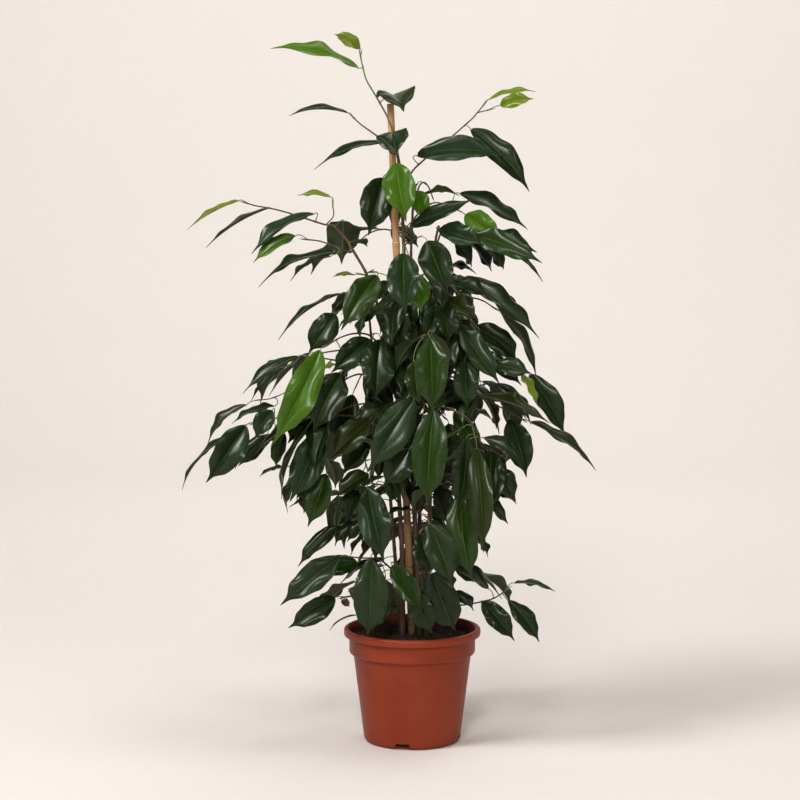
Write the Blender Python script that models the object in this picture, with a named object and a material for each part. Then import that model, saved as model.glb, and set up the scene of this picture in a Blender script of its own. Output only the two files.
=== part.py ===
"""A weeping fig in a plastic nursery pot, about a metre tall.

Sizes are in millimetres and are turned into metres as each mesh is made. The origin is the centre of the
pot's underside, +Z is up and the viewer's side is -Y. A place on the plant is written as (across, up, out):
where it is seen on the upright plane through the pot's axis, and how far it stands out to the viewer.
"""
import math
import random

import bmesh
import bpy
from mathutils import Vector
from mathutils.bvhtree import BVHTree

# The unit of the sizes in metres, the viewer's eye, which way is up, and the start of all drawn by lot.
MILLIMETRE = 0.001
EYE = Vector((-17.0, -3200.0, 820.0))
UP = Vector((0.0, 0.0, 1.0))
SEED = 41

# The pot: its tapered body, the collar above the neck, the rolled rim, and the drain notches in its foot.
POT_SIDES = 28
POT_HEIGHT = 159.0
POT_WALL = 2.0
POT_FOOT_RADIUS = 67.5
POT_NECK_RADIUS = 81.5
POT_NECK_HEIGHT = 121.0
COLLAR_RADIUS = 87.5
COLLAR_HEIGHT = 130.0
RIM_RADIUS = 95.0
RIM_HEIGHT = 10.5
NOTCH_COUNT = 4
NOTCH_WIDTH = 24.0
NOTCH_TOP_WIDTH = 18.0
NOTCH_HEIGHT = 9.0
NOTCH_DEPTH = 9.0
NOTCH_TURN = math.radians(-102.0)

# The soil, and the gap that it keeps to the pot and to what stands in it.
GAP = 0.35
SOIL_HEIGHT = 146.0
SOIL_CROWN = 3.0
SOIL_LUMP = 2.2

# The bamboo cane, from its foot in the soil to its cut top.
CANE_RADIUS = 5.0
CANE_BORE = 1.7
CANE_BORE_DEPTH = 14.0
CANE_FOOT = (4.5, 22, 0)
CANE_TOP = (-30, 881, 0)
CANE_KNOTS = (295, 486, 690)
CANE_SIDES = 8

# The wood: how many sides a bar has in section, the radii of twigs and petioles from root to end, the reach
# under which a petiole is straight, and how deep a petiole's root stays clear of a twig's end.
STEM_SIDES = 6
TWIG_SIDES = 4
STEM_STEP = 55.0
TWIG_RADIUS = 1.45
TWIG_END_RADIUS = 1.0
FORK_RADIUS = 0.95
FORK_END_RADIUS = 0.8
PETIOLE_RADIUS = 0.7
SHORT_PETIOLE = 20.0
ROOT_DEPTH = 2.5

# The leaves: the thickness of a blade, and the places along it of the sections that shape it. A leaf under
# the short length, or that starts behind the plant's middle, has fewer. A tip droops from the hook's start.
BLADE = 0.7
LONG_SECTIONS = (0.14, 0.40, 0.66, 0.85)
SHORT_SECTIONS = (0.17, 0.5, 0.8)
SHORT_LEAF = 95.0
BEHIND = 15.0
HOOK_START = 0.6

# A rear leaf: its share of width to length, and how far its petiole reaches out and up.
REAR_WIDTH = 0.43
REAR_PETIOLE = 13.0
REAR_PETIOLE_RISE = 2.0

# How far a leaf keeps from what is already placed, and how it may be eased to get there: the whole leaf out
# or in, its tip out or in, its roll in degrees, and its petiole's root back along the twig.
CLEARANCE = 0.85
OUT_STEPS = (0, 5, -5, 10, -10, 16, -16, 23, -23, 31, -31, 40, -40, 52, -52, 66, -66)
TIP_STEPS = (0, 10, -10, 20, -20, 32, -32)
ROLL_STEPS = (0, 12, -12, 25, -25, 40, -40)
ROOT_STEPS = (0.0, 5.0, 10.0, 16.0)

# Leaf tones, from the yellow green of a new leaf to the brown of a dry one.
FRESH, BRIGHT, MID, DARK, GREY, OLIVE, BROWN = range(7)
TONE_COLOURS = {FRESH: (0.20, 0.32, 0.03), BRIGHT: (0.08, 0.22, 0.02), MID: (0.03, 0.10, 0.02),
                DARK: (0.012, 0.04, 0.014), GREY: (0.035, 0.06, 0.035), OLIVE: (0.06, 0.08, 0.03),
                BROWN: (0.12, 0.07, 0.03)}

# The rooted stems: thickness at the soil and at the top, then the route as (across, up, out).
STEMS = {
    "leader": (3.8, 2.0, [(11, 84, 3), (10.5, 142, 3), (4, 300, 3), (-6, 500, 4), (-12, 690, 6),
                          (-16, 780, 9), (-22, 820, 12), (-27, 843, 13)]),
    "left": (3.9, 1.7, [(-13, 84, 6), (-13, 142, 7), (-13.5, 220, 8), (-16, 300, 9), (-26, 450, 12),
                        (-38, 560, 12), (-48, 608, 10), (-62, 648, 7), (-77, 675, 4), (-91, 698, 1),
                        (-104, 712, 0)]),
    "right": (3.6, 1.6, [(19, 84, 8), (20, 142, 9), (24, 300, 14), (24, 450, 16), (25, 560, 14),
                         (30, 640, 12), (31, 690, 10), (36, 716, 8)]),
    "back": (3.3, 1.5, [(4, 84, -16), (5, 142, -16), (10, 300, -22), (8, 450, -28), (2, 560, -32),
                        (-2, 650, -32), (0, 730, -30), (4, 770, -28)]),
    "low": (3.1, 1.5, [(-15, 84, -14), (-16, 142, -14), (-24, 260, -16), (-36, 400, -22), (-52, 520, -28),
                       (-60, 600, -32)]),
}

# The leafy branches: the stem and the height that each grows from, its twigs, and its leaves. The first
# twig starts at the stem and each other one forks from it. A leaf is where its blade starts and its tip ends,
# its full width, its roll and its tone. A roll of 0 turns its upper side to the front, 90 up and 180 away.
BRANCHES = {
    "top_shoot": ("leader", None, [[(-35, 865, 12), (-46, 885, 13), (-55, 900, 13), (-63, 914, 12),
                                   (-68, 933, 9), (-71, 948, 8)]], [
        ((-71, 955, 8), (-106, 975, 0), 21, 25, FRESH),
        ((-73, 929, 12), (-191, 960, 34), 34, 64, BRIGHT),
        ((-30, 891, -14), (-12, 873, 58), 56, 40, OLIVE),
    ]),
    "crown_left": ("leader", 815, [[(-42, 832, 20), (-56, 843, 14), (-70, 853, 8), (-82, 864, 4)]], [
        ((-88, 869, 2), (-168, 866, 8), 27, 82, GREY),
        ((-37, 830, 30), (-135, 795, 52), 31, 70, DARK),
        ((-27, 842, 16), (-21, 811, 60), 46, 14, GREY),
    ]),
    "crown_front": ("leader", 758, [[(-16, 775, 26), (-20, 792, 44)]], [
        ((-22, 801, 52), (-9, 721, 78), 45, 5, BRIGHT),
        ((-40, 781, 34), (-60, 702, 58), 49, -6, DARK),
        ((5, 763, 30), (16, 722, 48), 28, 10, BRIGHT),
    ]),
    "crown_right": ("leader", 772, [[(0, 790, 8), (20, 809, 0), (38, 824, -8), (55, 838, -12), (80, 860, -14),
                                     (88, 869, -14), (98, 881, -14)], [(88, 869, -14), (105, 873, -8)]], [
        ((6, 811, 26), (124, 812, 34), 38, 24, GREY),
        ((79, 847, -6), (161, 763, 8), 38, 30, DARK),
        ((104, 887, -14), (167, 899, -26), 16, 66, FRESH),
        ((119, 879, -4), (165, 888, 8), 21, 20, FRESH),
    ]),
    "left_arm": ("left", None, [[(-118, 717, -4), (-132, 721, -8), (-150, 727, -12), (-172, 734, -14),
                                (-192, 739, -14), (-214, 743, -12), (-228, 747, -10)],
                               [(-118, 717, -4), (-108, 729, -10), (-109, 745, -14)]], [
        ((-237, 750, -8), (-309, 710, 6), 18, 70, FRESH),
        ((-196, 740, -4), (-283, 685, 22), 25, 84, OLIVE),
        ((-134, 732, 10), (-221, 678, 30), 33, 62, GREY),
        ((-112, 755, -16), (-157, 757, -24), 16, 64, FRESH),
        ((-94, 722, 14), (-97, 664, -44), 50, 180, GREY),
    ]),
    "left_shelf": ("left", 682, [[(-97, 684, 14), (-112, 690, 18), (-128, 695, 18), (-146, 697, 16)],
                                 [(-97, 684, 14), (-104, 678, -6)]], [
        ((-160, 702, 18), (-218, 665, 30), 27, 46, BRIGHT),
        ((-103, 678, 34), (-213, 636, 60), 34, 70, DARK),
        ((-112, 674, -22), (-168, 642, -40), 30, 98, DARK),
        ((-84, 694, -10), (-61, 688, -38), 24, 100, OLIVE),
    ]),
    "left_face": ("left", 632, [[(-64, 648, 30), (-56, 654, 48)], [(-64, 648, 30), (-72, 650, 34)]], [
        ((-48, 648, 62), (-98, 572, 100), 41, 0, MID),
        ((-80, 649, 36), (-109, 646, 44), 13, 70, FRESH),
        ((-34, 640, 36), (-53, 610, 42), 20, 20, DARK),
    ]),
    "upper_face": ("leader", 676, [[(-10, 690, 40), (-12, 690, 66)], [(-10, 690, 40), (8, 700, 60)]], [
        ((-12, 678, 76), (-9, 593, 108), 46, 2, GREY),
        ((2, 650, 52), (13, 596, 74), 39, 5, BRIGHT),
        ((20, 695, 76), (49, 620, 108), 46, 0, DARK),
    ]),
    "dark_heart": ("back", 596, [[(0, 604, -10), (3, 611, 16), (-10, 614, 32), (-25, 612, 46)],
                                 [(-10, 614, 32), (-9, 602, 42)]], [
        ((-25, 606, 56), (-15, 536, 72), 44, 0, DARK),
        ((-30, 606, 44), (-74, 579, 60), 30, 40, OLIVE),
        ((-8, 590, 50), (6, 520, 66), 38, 10, DARK),
    ]),
    "cane_peek": ("back", 700, [[(-4, 712, -52), (-14, 718, -60)]], [
        ((-28, 714, -58), (8, 686, -44), 30, 20, MID),
    ]),
    "right_crest": ("leader", 705, [[(0, 722, 14), (14, 738, 14), (30, 747, 10), (50, 743, 8),
                                     (64, 736, 8)]], [
        ((-2, 714, 44), (84, 752, 62), 27, 45, DARK),
        ((14, 757, -8), (64, 758, -22), 27, 105, OLIVE),
        ((64, 760, 2), (158, 711, 14), 35, 50, DARK),
        ((72, 731, 22), (122, 694, 40), 37, 12, BRIGHT),
    ]),
    "right_arm": ("right", 694, [[(42, 711, 26), (58, 712, 32), (76, 708, 36), (95, 699, 36)],
                                 [(42, 711, 26), (60, 700, -6), (84, 694, -20), (98, 690, -24)]], [
        ((80, 703, 58), (178, 665, 84), 35, 22, MID),
        ((98, 704, 12), (171, 681, 16), 34, 35, DARK),
        ((108, 688, 28), (180, 641, 44), 30, 62, DARK),
        ((36, 711, 48), (98, 690, 70), 34, 28, GREY),
        ((44, 716, 2), (80, 688, 4), 32, 10, DARK),
        ((58, 692, -14), (82, 659, -24), 28, 40, DARK),
        ((78, 694, -30), (109, 653, -44), 30, 45, DARK),
        ((100, 690, -26), (126, 656, -36), 28, 50, DARK),
    ]),
    "right_sweep": ("right", 628, [[(44, 640, 26), (58, 646, 30)], [(44, 640, 26), (44, 622, 44)]], [
        ((70, 646, 28), (175, 562, 44), 37, 42, DARK),
        ((54, 640, 44), (104, 621, 56), 30, 35, DARK),
        ((48, 614, 52), (90, 588, 66), 34, 10, OLIVE),
        ((50, 660, 2), (88, 651, -10), 26, 60, DARK),
        ((32, 606, 66), (18, 555, 88), 34, 20, GREY),
        ((40, 606, 56), (50, 555, 76), 36, 10, DARK),
    ]),
    "right_spur": ("right", 588, [[(60, 612, -10), (80, 617, -18), (97, 613, -20), (112, 603, -20)],
                                  [(60, 612, -10), (74, 592, -20)]], [
        ((122, 596, -20), (171, 508, -16), 27, 56, OLIVE),
        ((86, 578, -26), (146, 528, -22), 38, 25, DARK),
    ]),
    "right_shoulder": ("right", 548, [[(46, 566, 44), (60, 580, 60)],
                                      [(46, 566, 44), (84, 544, 56), (112, 535, 60), (135, 526, 58),
                                       (146, 518, 56)]], [
        ((64, 577, 66), (121, 498, 92), 35, 20, GREY),
        ((72, 530, 66), (76, 462, 84), 36, 5, GREY),
        ((113, 526, 68), (164, 513, 80), 30, 32, GREY),
        ((149, 514, 62), (173, 468, 78), 19, 52, FRESH),
        ((161, 512, 30), (211, 425, 40), 37, 18, DARK),
        ((91, 541, 45), (151, 496, 50), 27, 30, DARK),
        ((56, 566, 38), (79, 497, 50), 34, 8, DARK),
    ]),
    "right_long": ("right", 486, [[(50, 489, 30), (76, 488, 40), (92, 483, 46), (115, 470, 50),
                                   (140, 456, 52), (152, 449, 52)],
                                  [(50, 489, 30), (88, 496, 26), (104, 499, 24)]], [
        ((112, 499, 24), (165, 443, 34), 30, 55, OLIVE),
        ((94, 482, 62), (190, 444, 86), 34, 64, OLIVE),
        ((162, 446, 54), (256, 381, 64), 29, 62, OLIVE),
        ((134, 450, 36), (158, 368, 52), 38, 5, DARK),
        ((80, 460, 12), (112, 447, 2), 22, 78, DARK),
        ((102, 476, 22), (116, 436, 24), 24, 60, OLIVE),
        ((86, 482, 30), (38, 460, 22), 30, 40, OLIVE),
        ((58, 462, 42), (96, 398, 50), 30, 12, MID),
    ]),
    "right_pendant": ("leader", 446, [[(30, 466, 90), (58, 461, 116), (74, 453, 122), (81, 445, 124),
                                       (86, 426, 126)],
                                      [(58, 461, 116), (84, 440, 96), (96, 412, 78), (104, 388, 70)]], [
        ((75, 424, 122), (62, 318, 138), 38, 5, DARK),
        ((89, 410, 132), (98, 262, 146), 35, -8, OLIVE),
        ((98, 424, 84), (150, 391, 92), 27, 46, DARK),
        ((112, 394, 74), (131, 364, 76), 18, 72, DARK),
        ((108, 384, 62), (144, 335, 66), 34, 25, DARK),
        ((106, 358, 56), (145, 331, 58), 26, 52, DARK),
    ]),
    "heart": ("leader", 538, [[(8, 556, 70), (18, 566, 120), (22, 566, 140)]], [
        ((24, 562, 150), (27, 457, 168), 46, -3, MID),
        ((2, 530, 116), (9, 470, 128), 31, 10, MID),
    ]),
    "heart_low": ("leader", 452, [[(12, 470, 80), (24, 471, 130), (28, 468, 146)],
                                  [(12, 470, 80), (4, 484, 116), (3, 485, 130)]], [
        ((29, 463, 154), (21, 325, 172), 48, 0, MID),
        ((2, 478, 140), (-62, 375, 172), 47, -5, GREY),
        ((-4, 408, 112), (-41, 356, 124), 38, 0, DARK),
    ]),
    "left_reach": ("left", 552, [[(-60, 566, 34), (-80, 568, 60), (-100, 562, 86), (-118, 551, 108)],
                                 [(-60, 566, 34), (-52, 568, 60)]], [
        ((-126, 546, 118), (-194, 412, 150), 45, -12, BRIGHT),
        ((-98, 513, 78), (-137, 429, 104), 49, 0, DARK),
        ((-58, 560, 70), (-112, 514, 88), 38, 15, DARK),
        ((-44, 560, 66), (-50, 474, 96), 47, 0, DARK),
    ]),
    "left_ribbon": ("left", 600, [[(-66, 612, 26), (-84, 622, 36)], [(-66, 612, 26), (-92, 598, 50)]], [
        ((-98, 623, 36), (-185, 559, 48), 27, 82, GREY),
        ((-106, 595, 62), (-143, 541, 76), 38, 10, DARK),
        ((-60, 600, 60), (-72, 560, 76), 30, 60, OLIVE),
    ]),
    "left_bough": ("left", 512, [[(-70, 524, 14), (-110, 532, 20), (-146, 537, 18)],
                                 [(-110, 532, 20), (-150, 500, 6), (-190, 480, -4), (-214, 476, -8)]], [
        ((-156, 537, 16), (-234, 485, 30), 29, 62, DARK),
        ((-172, 524, 0), (-224, 476, 6), 21, 84, OLIVE),
        ((-104, 525, 44), (-124, 518, 50), 12, 60, FRESH),
        ((-228, 470, -12), (-285, 414, -8), 27, 64, OLIVE),
        ((-190, 468, 16), (-250, 445, 22), 25, 66, DARK),
    ]),
    "left_drape": ("left", 440, [[(-70, 452, 30), (-110, 455, 44), (-150, 453, 54), (-180, 452, 58),
                                  (-206, 448, 60), (-218, 444, 60)],
                                 [(-150, 453, 54), (-166, 440, 66)]], [
        ((-229, 441, 64), (-285, 361, 86), 45, -5, GREY),
        ((-250, 428, 34), (-321, 353, 24), 27, 82, DARK),
        ((-193, 462, 78), (-217, 423, 88), 29, 10, GREY),
        ((-202, 426, 50), (-246, 380, 54), 25, 58, DARK),
        ((-194, 428, 28), (-241, 384, 26), 27, 30, DARK),
        ((-176, 430, 80), (-189, 382, 88), 23, 25, MID),
        ((-140, 462, 60), (-172, 416, 70), 33, 10, DARK),
    ]),
    "left_hang": ("left", 396, [[(-60, 410, 36), (-100, 424, 64), (-118, 432, 80)],
                                [(-60, 410, 36), (-110, 396, 34), (-148, 388, 34), (-166, 385, 34)]], [
        ((-128, 431, 88), (-170, 334, 112), 45, 0, GREY),
        ((-177, 383, 36), (-212, 370, 38), 17, 76, OLIVE),
        ((-164, 374, 28), (-174, 319, 14), 23, 78, DARK),
        ((-156, 368, 50), (-176, 329, 54), 23, 50, DARK),
        ((-134, 366, 34), (-161, 339, 34), 27, 40, OLIVE),
        ((-140, 368, 12), (-150, 318, 8), 25, 40, DARK),
        ((-119, 374, 84), (-145, 299, 100), 35, 10, MID),
    ]),
    "left_inner": ("low", 428, [[(-50, 446, 46), (-56, 452, 66)],
                                [(-50, 446, 46), (-64, 396, 50), (-62, 380, 56)]], [
        ((-58, 450, 76), (-114, 394, 92), 39, 20, OLIVE),
        ((-34, 470, 56), (-86, 432, 66), 31, 40, OLIVE),
        ((-66, 432, 40), (-96, 372, 50), 36, 10, DARK),
        ((-60, 373, 66), (-105, 342, 78), 31, 30, OLIVE),
        ((-78, 352, 62), (-92, 306, 74), 31, 15, DARK),
        ((-22, 384, 56), (-31, 331, 66), 29, 10, MID),
    ]),
    "left_knee": ("low", 296, [[(-60, 311, 22), (-84, 309, 32), (-94, 304, 34)]], [
        ((-101, 301, 36), (-159, 243, 48), 27, 36, DARK),
        ((-78, 306, 56), (-108, 273, 66), 25, 52, DARK),
        ((-66, 308, 70), (-90, 279, 78), 23, 30, DARK),
        ((4, 322, 40), (-38, 316, 50), 20, 76, MID),
    ]),
    "mid_fill": ("back", 452, [[(20, 464, -14), (34, 462, 10), (44, 452, 34)],
                               [(34, 462, 10), (35, 453, 32), (20, 446, 38)]], [
        ((50, 444, 42), (60, 372, 54), 36, 5, DARK),
        ((34, 446, 44), (30, 374, 58), 34, 0, DARK),
        ((-2, 440, 30), (-22, 372, 44), 36, 5, DARK),
        ((8, 440, 46), (-4, 366, 62), 34, 0, MID),
    ]),
    "left_fill": ("low", 500, [[(-70, 512, -20), (-90, 506, -6), (-104, 492, 4)],
                               [(-70, 512, -20), (-78, 494, -2)]], [
        ((-108, 484, 8), (-140, 400, 22), 38, 15, DARK),
        ((-82, 484, 4), (-104, 404, 18), 36, 5, DARK),
        ((-92, 512, 8), (-146, 466, 20), 34, 30, DARK),
        ((-60, 512, 8), (-26, 455, 20), 30, 8, DARK),
    ]),
    "low_face": ("left", 338, [[(-38, 356, 70), (-54, 360, 112)]], [
        ((-62, 354, 122), (-39, 249, 146), 45, -3, GREY),
    ]),
    "foot_left": ("low", 236, [[(-46, 254, 40), (-70, 256, 56), (-90, 258, 66)],
                               [(-46, 254, 40), (-54, 262, 84)]], [
        ((-57, 256, 98), (-62, 144, 80), 48, -2, GREY),
        ((-76, 250, 50), (-124, 236, 60), 31, 20, MID),
        ((-99, 258, 74), (-184, 189, 98), 39, 12, GREY),
        ((-38, 222, 66), (-56, 150, 64), 35, 5, MID),
    ]),
    "foot_left_low": ("low", 186, [[(-52, 198, 26), (-84, 202, 36), (-96, 200, 40)],
                                   [(-52, 198, 26), (-66, 176, 34)]], [
        ((-107, 200, 44), (-173, 157, 60), 34, 0, DARK),
        ((-98, 197, 52), (-87, 187, 58), 11, 20, BROWN),
        ((-78, 176, 38), (-116, 155, 44), 11, 84, BROWN),
    ]),
    "foot_front": ("right", 226, [[(22, 238, 56), (24, 242, 88)], [(22, 238, 56), (4, 226, 84)],
                                  [(22, 238, 56), (-22, 248, 76)]], [
        ((27, 236, 100), (61, 150, 78), 47, 0, DARK),
        ((-28, 246, 92), (14, 181, 112), 33, 0, MID),
        ((4, 213, 96), (28, 148, 84), 35, 0, DARK),
    ]),
    "low_right_face": ("right", 296, [[(22, 310, 70), (20, 314, 118)], [(22, 310, 70), (14, 296, 84)]], [
        ((23, 305, 130), (56, 216, 148), 43, 2, GREY),
        ((11, 290, 90), (24, 238, 98), 37, 0, DARK),
    ]),
    "right_apron": ("right", 344, [[(46, 356, 70), (60, 357, 112)], [(46, 356, 70), (84, 344, 74)]], [
        ((67, 350, 122), (84, 221, 142), 43, 0, MID),
        ((96, 338, 78), (133, 304, 82), 25, 50, DARK),
        ((84, 286, 84), (105, 257, 86), 23, 55, DARK),
        ((36, 358, 58), (50, 300, 64), 30, 6, DARK),
    ]),
    "foot_right": ("right", 178, [[(46, 188, 26), (72, 190, 34), (95, 194, 38), (110, 198, 40),
                                   (120, 203, 40), (132, 212, 40)]], [
        ((97, 195, 46), (143, 139, 60), 31, 12, DARK),
        ((133, 196, 38), (178, 137, 46), 28, 28, DARK),
        ((142, 221, 40), (199, 209, 34), 21, 70, DARK),
        ((106, 213, 42), (50, 246, 36), 33, 50, DARK),
        ((58, 208, 44), (86, 181, 52), 23, 45, DARK),
    ]),
}

# Branches at the back and sides, that the view from the front hardly shows: the stem and the height that
# each grows from, its heading (0 to the viewer's right, 90 straight back), its reach, rise and leaf count.
REAR_BRANCHES = {
    "rear_crown": ("back", 752, 70, 70, 26, 4),
    "rear_high_left": ("back", 690, 128, 120, 22, 4),
    "rear_high_right": ("back", 640, 52, 125, 12, 4),
    "rear_mid": ("back", 575, 92, 150, 10, 4),
    "rear_mid_left": ("low", 540, 150, 130, 0, 4),
    "rear_mid_right": ("back", 500, 35, 120, 4, 4),
    "rear_low": ("low", 450, 112, 140, -4, 4),
    "rear_fall_right": ("back", 400, 60, 130, -8, 4),
    "rear_fall_left": ("low", 350, 140, 110, -12, 4),
    "rear_skirt": ("back", 300, 90, 110, -6, 4),
    "rear_skirt_right": ("back", 240, 48, 90, 0, 3),
    "rear_skirt_left": ("low", 210, 128, 95, 6, 3),
    "side_left": ("left", 470, 222, 130, 8, 4),
    "side_right": ("right", 420, 330, 110, 6, 4),
}

# The plant's outline from the front, as heights with the reach to the left and right, and the gaps in it that
# the background shows through, as left, right, lowest and highest. Leaves of the rear branches keep to these.
OUTLINE = [(150, -85, 165), (180, -160, 150), (200, -184, 140), (225, -170, 150), (245, -150, 90),
           (300, -112, 105), (330, -180, 118), (360, -300, 135), (400, -286, 175), (430, -270, 215),
           (460, -236, 200), (490, -226, 180), (530, -200, 160), (560, -170, 170), (610, -140, 162),
           (640, -190, 172), (665, -215, 170), (700, -225, 150), (730, -270, 145), (752, -245, 122),
           (765, -80, 155), (800, -60, 150), (840, -60, 112), (870, -90, 95), (895, -60, 60)]
WINDOWS = [(-88, -72, 475, 515), (-100, -70, 450, 465), (-90, -60, 370, 415), (-38, -18, 320, 345),
           (-36, -22, 250, 280), (40, 50, 322, 330), (45, 58, 430, 450), (42, 55, 375, 390),
           (70, 85, 540, 548), (-122, -95, 530, 560), (-95, -60, 560, 580), (-82, -30, 655, 705),
           (60, 108, 196, 222), (92, 112, 585, 610), (125, 150, 535, 560), (92, 112, 425, 450),
           (-2, 26, 680, 708), (42, 76, 742, 754), (-66, -45, 560, 585), (8, 40, 756, 782),
           (-122, -78, 642, 676)]


def seen(place):
    """The point that is seen at (across, up) from the eye, moved out of the upright plane towards the eye."""
    across, up, out = place
    on_plane = Vector((across, 0.0, up))
    return on_plane + (EYE - on_plane) * (out / -EYE.y)


def smooth_path(points, step):
    """A Catmull-Rom curve through the points, read about every step."""
    ends = [points[0] * 2 - points[1]] + list(points) + [points[-1] * 2 - points[-2]]
    path = []
    for before, start, end, after in zip(ends, ends[1:], ends[2:], ends[3:]):
        count = max(1, round((end - start).length / step))
        for index in range(count):
            t = index / count
            path.append(0.5 * (2 * start + (end - before) * t
                               + (2 * before - 5 * start + 4 * end - after) * t * t
                               + (3 * start - before - 3 * end + after) * t * t * t))
    return path + [points[-1]]


def spread(first, last, count):
    """Values from the first to the last in equal steps."""
    return [first + (last - first) * index / (count - 1) for index in range(count)]


def tube(path, radii, sides, turn=0.0):
    """A closed round bar along a path, as points and faces. Its rings don't twist from one to the next."""
    tangents = [(after - before).normalized() for before, after in
                zip([path[0]] + path[:-1], path[1:] + [path[-1]])]
    reference = tangents[0].orthogonal().normalized()
    points = []
    faces = []
    for centre, tangent, radius in zip(path, tangents, radii):
        reference = (reference - tangent * reference.dot(tangent)).normalized()
        other = tangent.cross(reference)
        for side in range(sides):
            angle = turn + math.tau * side / sides
            points.append(centre + (reference * math.cos(angle) + other * math.sin(angle)) * radius)
    for ring in range(len(path) - 1):
        faces += ring_faces(ring * sides, (ring + 1) * sides, sides)
    faces.append(tuple(reversed(range(sides))))
    faces.append(tuple(range(len(points) - sides, len(points))))
    return points, faces


def ring_faces(first, second, sides):
    """The four-sided faces between two rings of points."""
    return [(first + side, first + (side + 1) % sides, second + (side + 1) % sides, second + side)
            for side in range(sides)]


def blade_outline(along):
    """The half width of a leaf along it, as a share of the greatest: an oval with a long drip tip."""
    oval = math.sin(math.pi * along ** 0.82) ** 0.85
    fall = min(max((along - 0.72) / 0.18, 0.0), 1.0)
    return oval * (1.0 - 0.65 * fall * fall * (3.0 - 2.0 * fall))


class Leaf:
    """One leaf: where its blade starts and ends, its width and upper side, and how it bends."""

    def __init__(self, base, tip, width, normal, tone, seed):
        draw = random.Random(SEED * 1000 + seed)
        self.base = base
        self.tip = tip
        self.width = width
        self.tone = tone
        self.length = (tip - base).length
        self.axis = (tip - base).normalized()
        self.normal = (normal - self.axis * normal.dot(self.axis)).normalized()
        self.side = self.axis.cross(self.normal)
        self.arch = draw.uniform(0.05, 0.10)
        self.fold = math.radians(draw.uniform(10, 22))
        self.wave = draw.uniform(0.05, 0.11) * width
        self.wave_count = draw.uniform(1.5, 2.4)
        self.phase = draw.uniform(0, math.tau)
        self.sway = draw.uniform(-0.03, 0.03)
        self.twist = math.radians(draw.uniform(-28, 28))
        self.hook = draw.uniform(0.0, 0.05)

    def frame(self, along):
        """The centre of the midrib, and the way across and up, at a place along the leaf."""
        bend = max(along - HOOK_START, 0.0) / (1 - HOOK_START)
        rise = (self.arch * 4 * along * (1 - along) - self.hook * bend * bend) * self.length
        slope = self.arch * 4 * (1 - 2 * along) - 2 * self.hook * bend / (1 - HOOK_START)
        shift = self.sway * math.sin(math.pi * along) * self.length
        centre = self.base + self.axis * (along * self.length) + self.normal * rise + self.side * shift
        above = (self.normal - self.axis * slope).normalized()
        turn = self.twist * (along - 0.35)
        side = self.side * math.cos(turn) + above * math.sin(turn)
        top = above * math.cos(turn) - self.side * math.sin(turn)
        return centre, side, top

    def point(self, along, across, above=0.0, grow=0.0):
        """A point of the blade: across it from -1 to 1, and above or below its middle layer."""
        centre, side, top = self.frame(along)
        half = self.width / 2 * blade_outline(along) + grow
        other_edge = 1.3 if across < 0 else 0.0
        ripple = self.wave * math.sin(math.tau * self.wave_count * along + self.phase + other_edge)
        rise = half * abs(across) * math.sin(self.fold) + ripple * across * across * blade_outline(along)
        return centre + side * (half * across * math.cos(self.fold)) + top * (rise + above)


def petiole_path(leaf, root):
    """The petiole from its root in the twig to the blade, which it meets in line."""
    reach = (leaf.base - root).length
    control = leaf.base - leaf.axis * (0.45 * reach)
    middle = root * 0.25 + control * 0.5 + leaf.base * 0.25
    return [root, leaf.base] if reach < SHORT_PETIOLE else [root, middle, leaf.base]


def petiole_rings(leaf, root, radius):
    """Three points round each place on the petiole, turned to match the blade where it starts."""
    path = petiole_path(leaf, root)
    centre, side, above = leaf.frame(0.0)
    tangent = side.cross(above) * -1.0
    half_side = radius * math.cos(math.radians(30))
    half_rise = radius * math.sin(math.radians(30))
    rings = []
    for index in range(len(path) - 1, -1, -1):
        if index < len(path) - 1:
            heading = (path[index + 1] - path[max(index - 1, 0)]).normalized()
            turn = tangent.rotation_difference(heading)
            above = turn @ above
            side = turn @ side
            tangent = heading
        centre = path[index]
        rings = [centre - side * half_side + above * half_rise,
                 centre + side * half_side + above * half_rise,
                 centre - above * radius] + rings
    return rings


def leaf_solid(leaf, root, grow=0.0):
    """A leaf with its petiole as one closed loft. Both faces of the blade are split alike."""
    sections = SHORT_SECTIONS if leaf.length < SHORT_LEAF or leaf.base.y > BEHIND else LONG_SECTIONS
    points = petiole_rings(leaf, root, PETIOLE_RADIUS + grow)
    neck = len(points) - 3
    faces = [(0, 1, 2)]
    for ring in range(0, neck, 3):
        faces += [(ring + a, ring + 3 + a, ring + 3 + b) for a, b in ((0, 1), (1, 2), (2, 0))]
        faces += [(ring + a, ring + 3 + b, ring + b) for a, b in ((0, 1), (1, 2), (2, 0))]
    half_thick = BLADE / 2 + grow
    for along in sections:
        for across, above in ((-1, 1), (0, 1), (1, 1), (1, -1), (0, -1), (-1, -1)):
            points.append(leaf.point(along, across, above * half_thick, grow))
    points.append(leaf.point(1.0, 0.0, 0.0))
    left, right, keel = neck, neck + 1, neck + 2
    first = neck + 3
    faces += [(left, first + 1, right), (left, first, first + 1), (right, first + 1, first + 2),
              (right, first + 2, first + 3), (right, first + 3, keel), (keel, first + 3, first + 4),
              (keel, first + 4, first + 5), (left, first + 5, first), (left, keel, first + 5)]
    for section in range(len(sections) - 1):
        start = first + 6 * section
        for a, b, flip in ((0, 1, 0), (1, 2, 1), (2, 3, 0), (3, 4, 0), (4, 5, 1), (5, 0, 0)):
            low_a, low_b, high_a, high_b = start + a, start + b, start + 6 + a, start + 6 + b
            if flip:
                faces += [(low_a, high_a, low_b), (low_b, high_a, high_b)]
            else:
                faces += [(low_a, high_a, high_b), (low_a, high_b, low_b)]
    start = first + 6 * (len(sections) - 1)
    apex = len(points) - 1
    faces += [(start + a, apex, start + (a + 1) % 6) for a in range(6)]
    return points, faces


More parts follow.
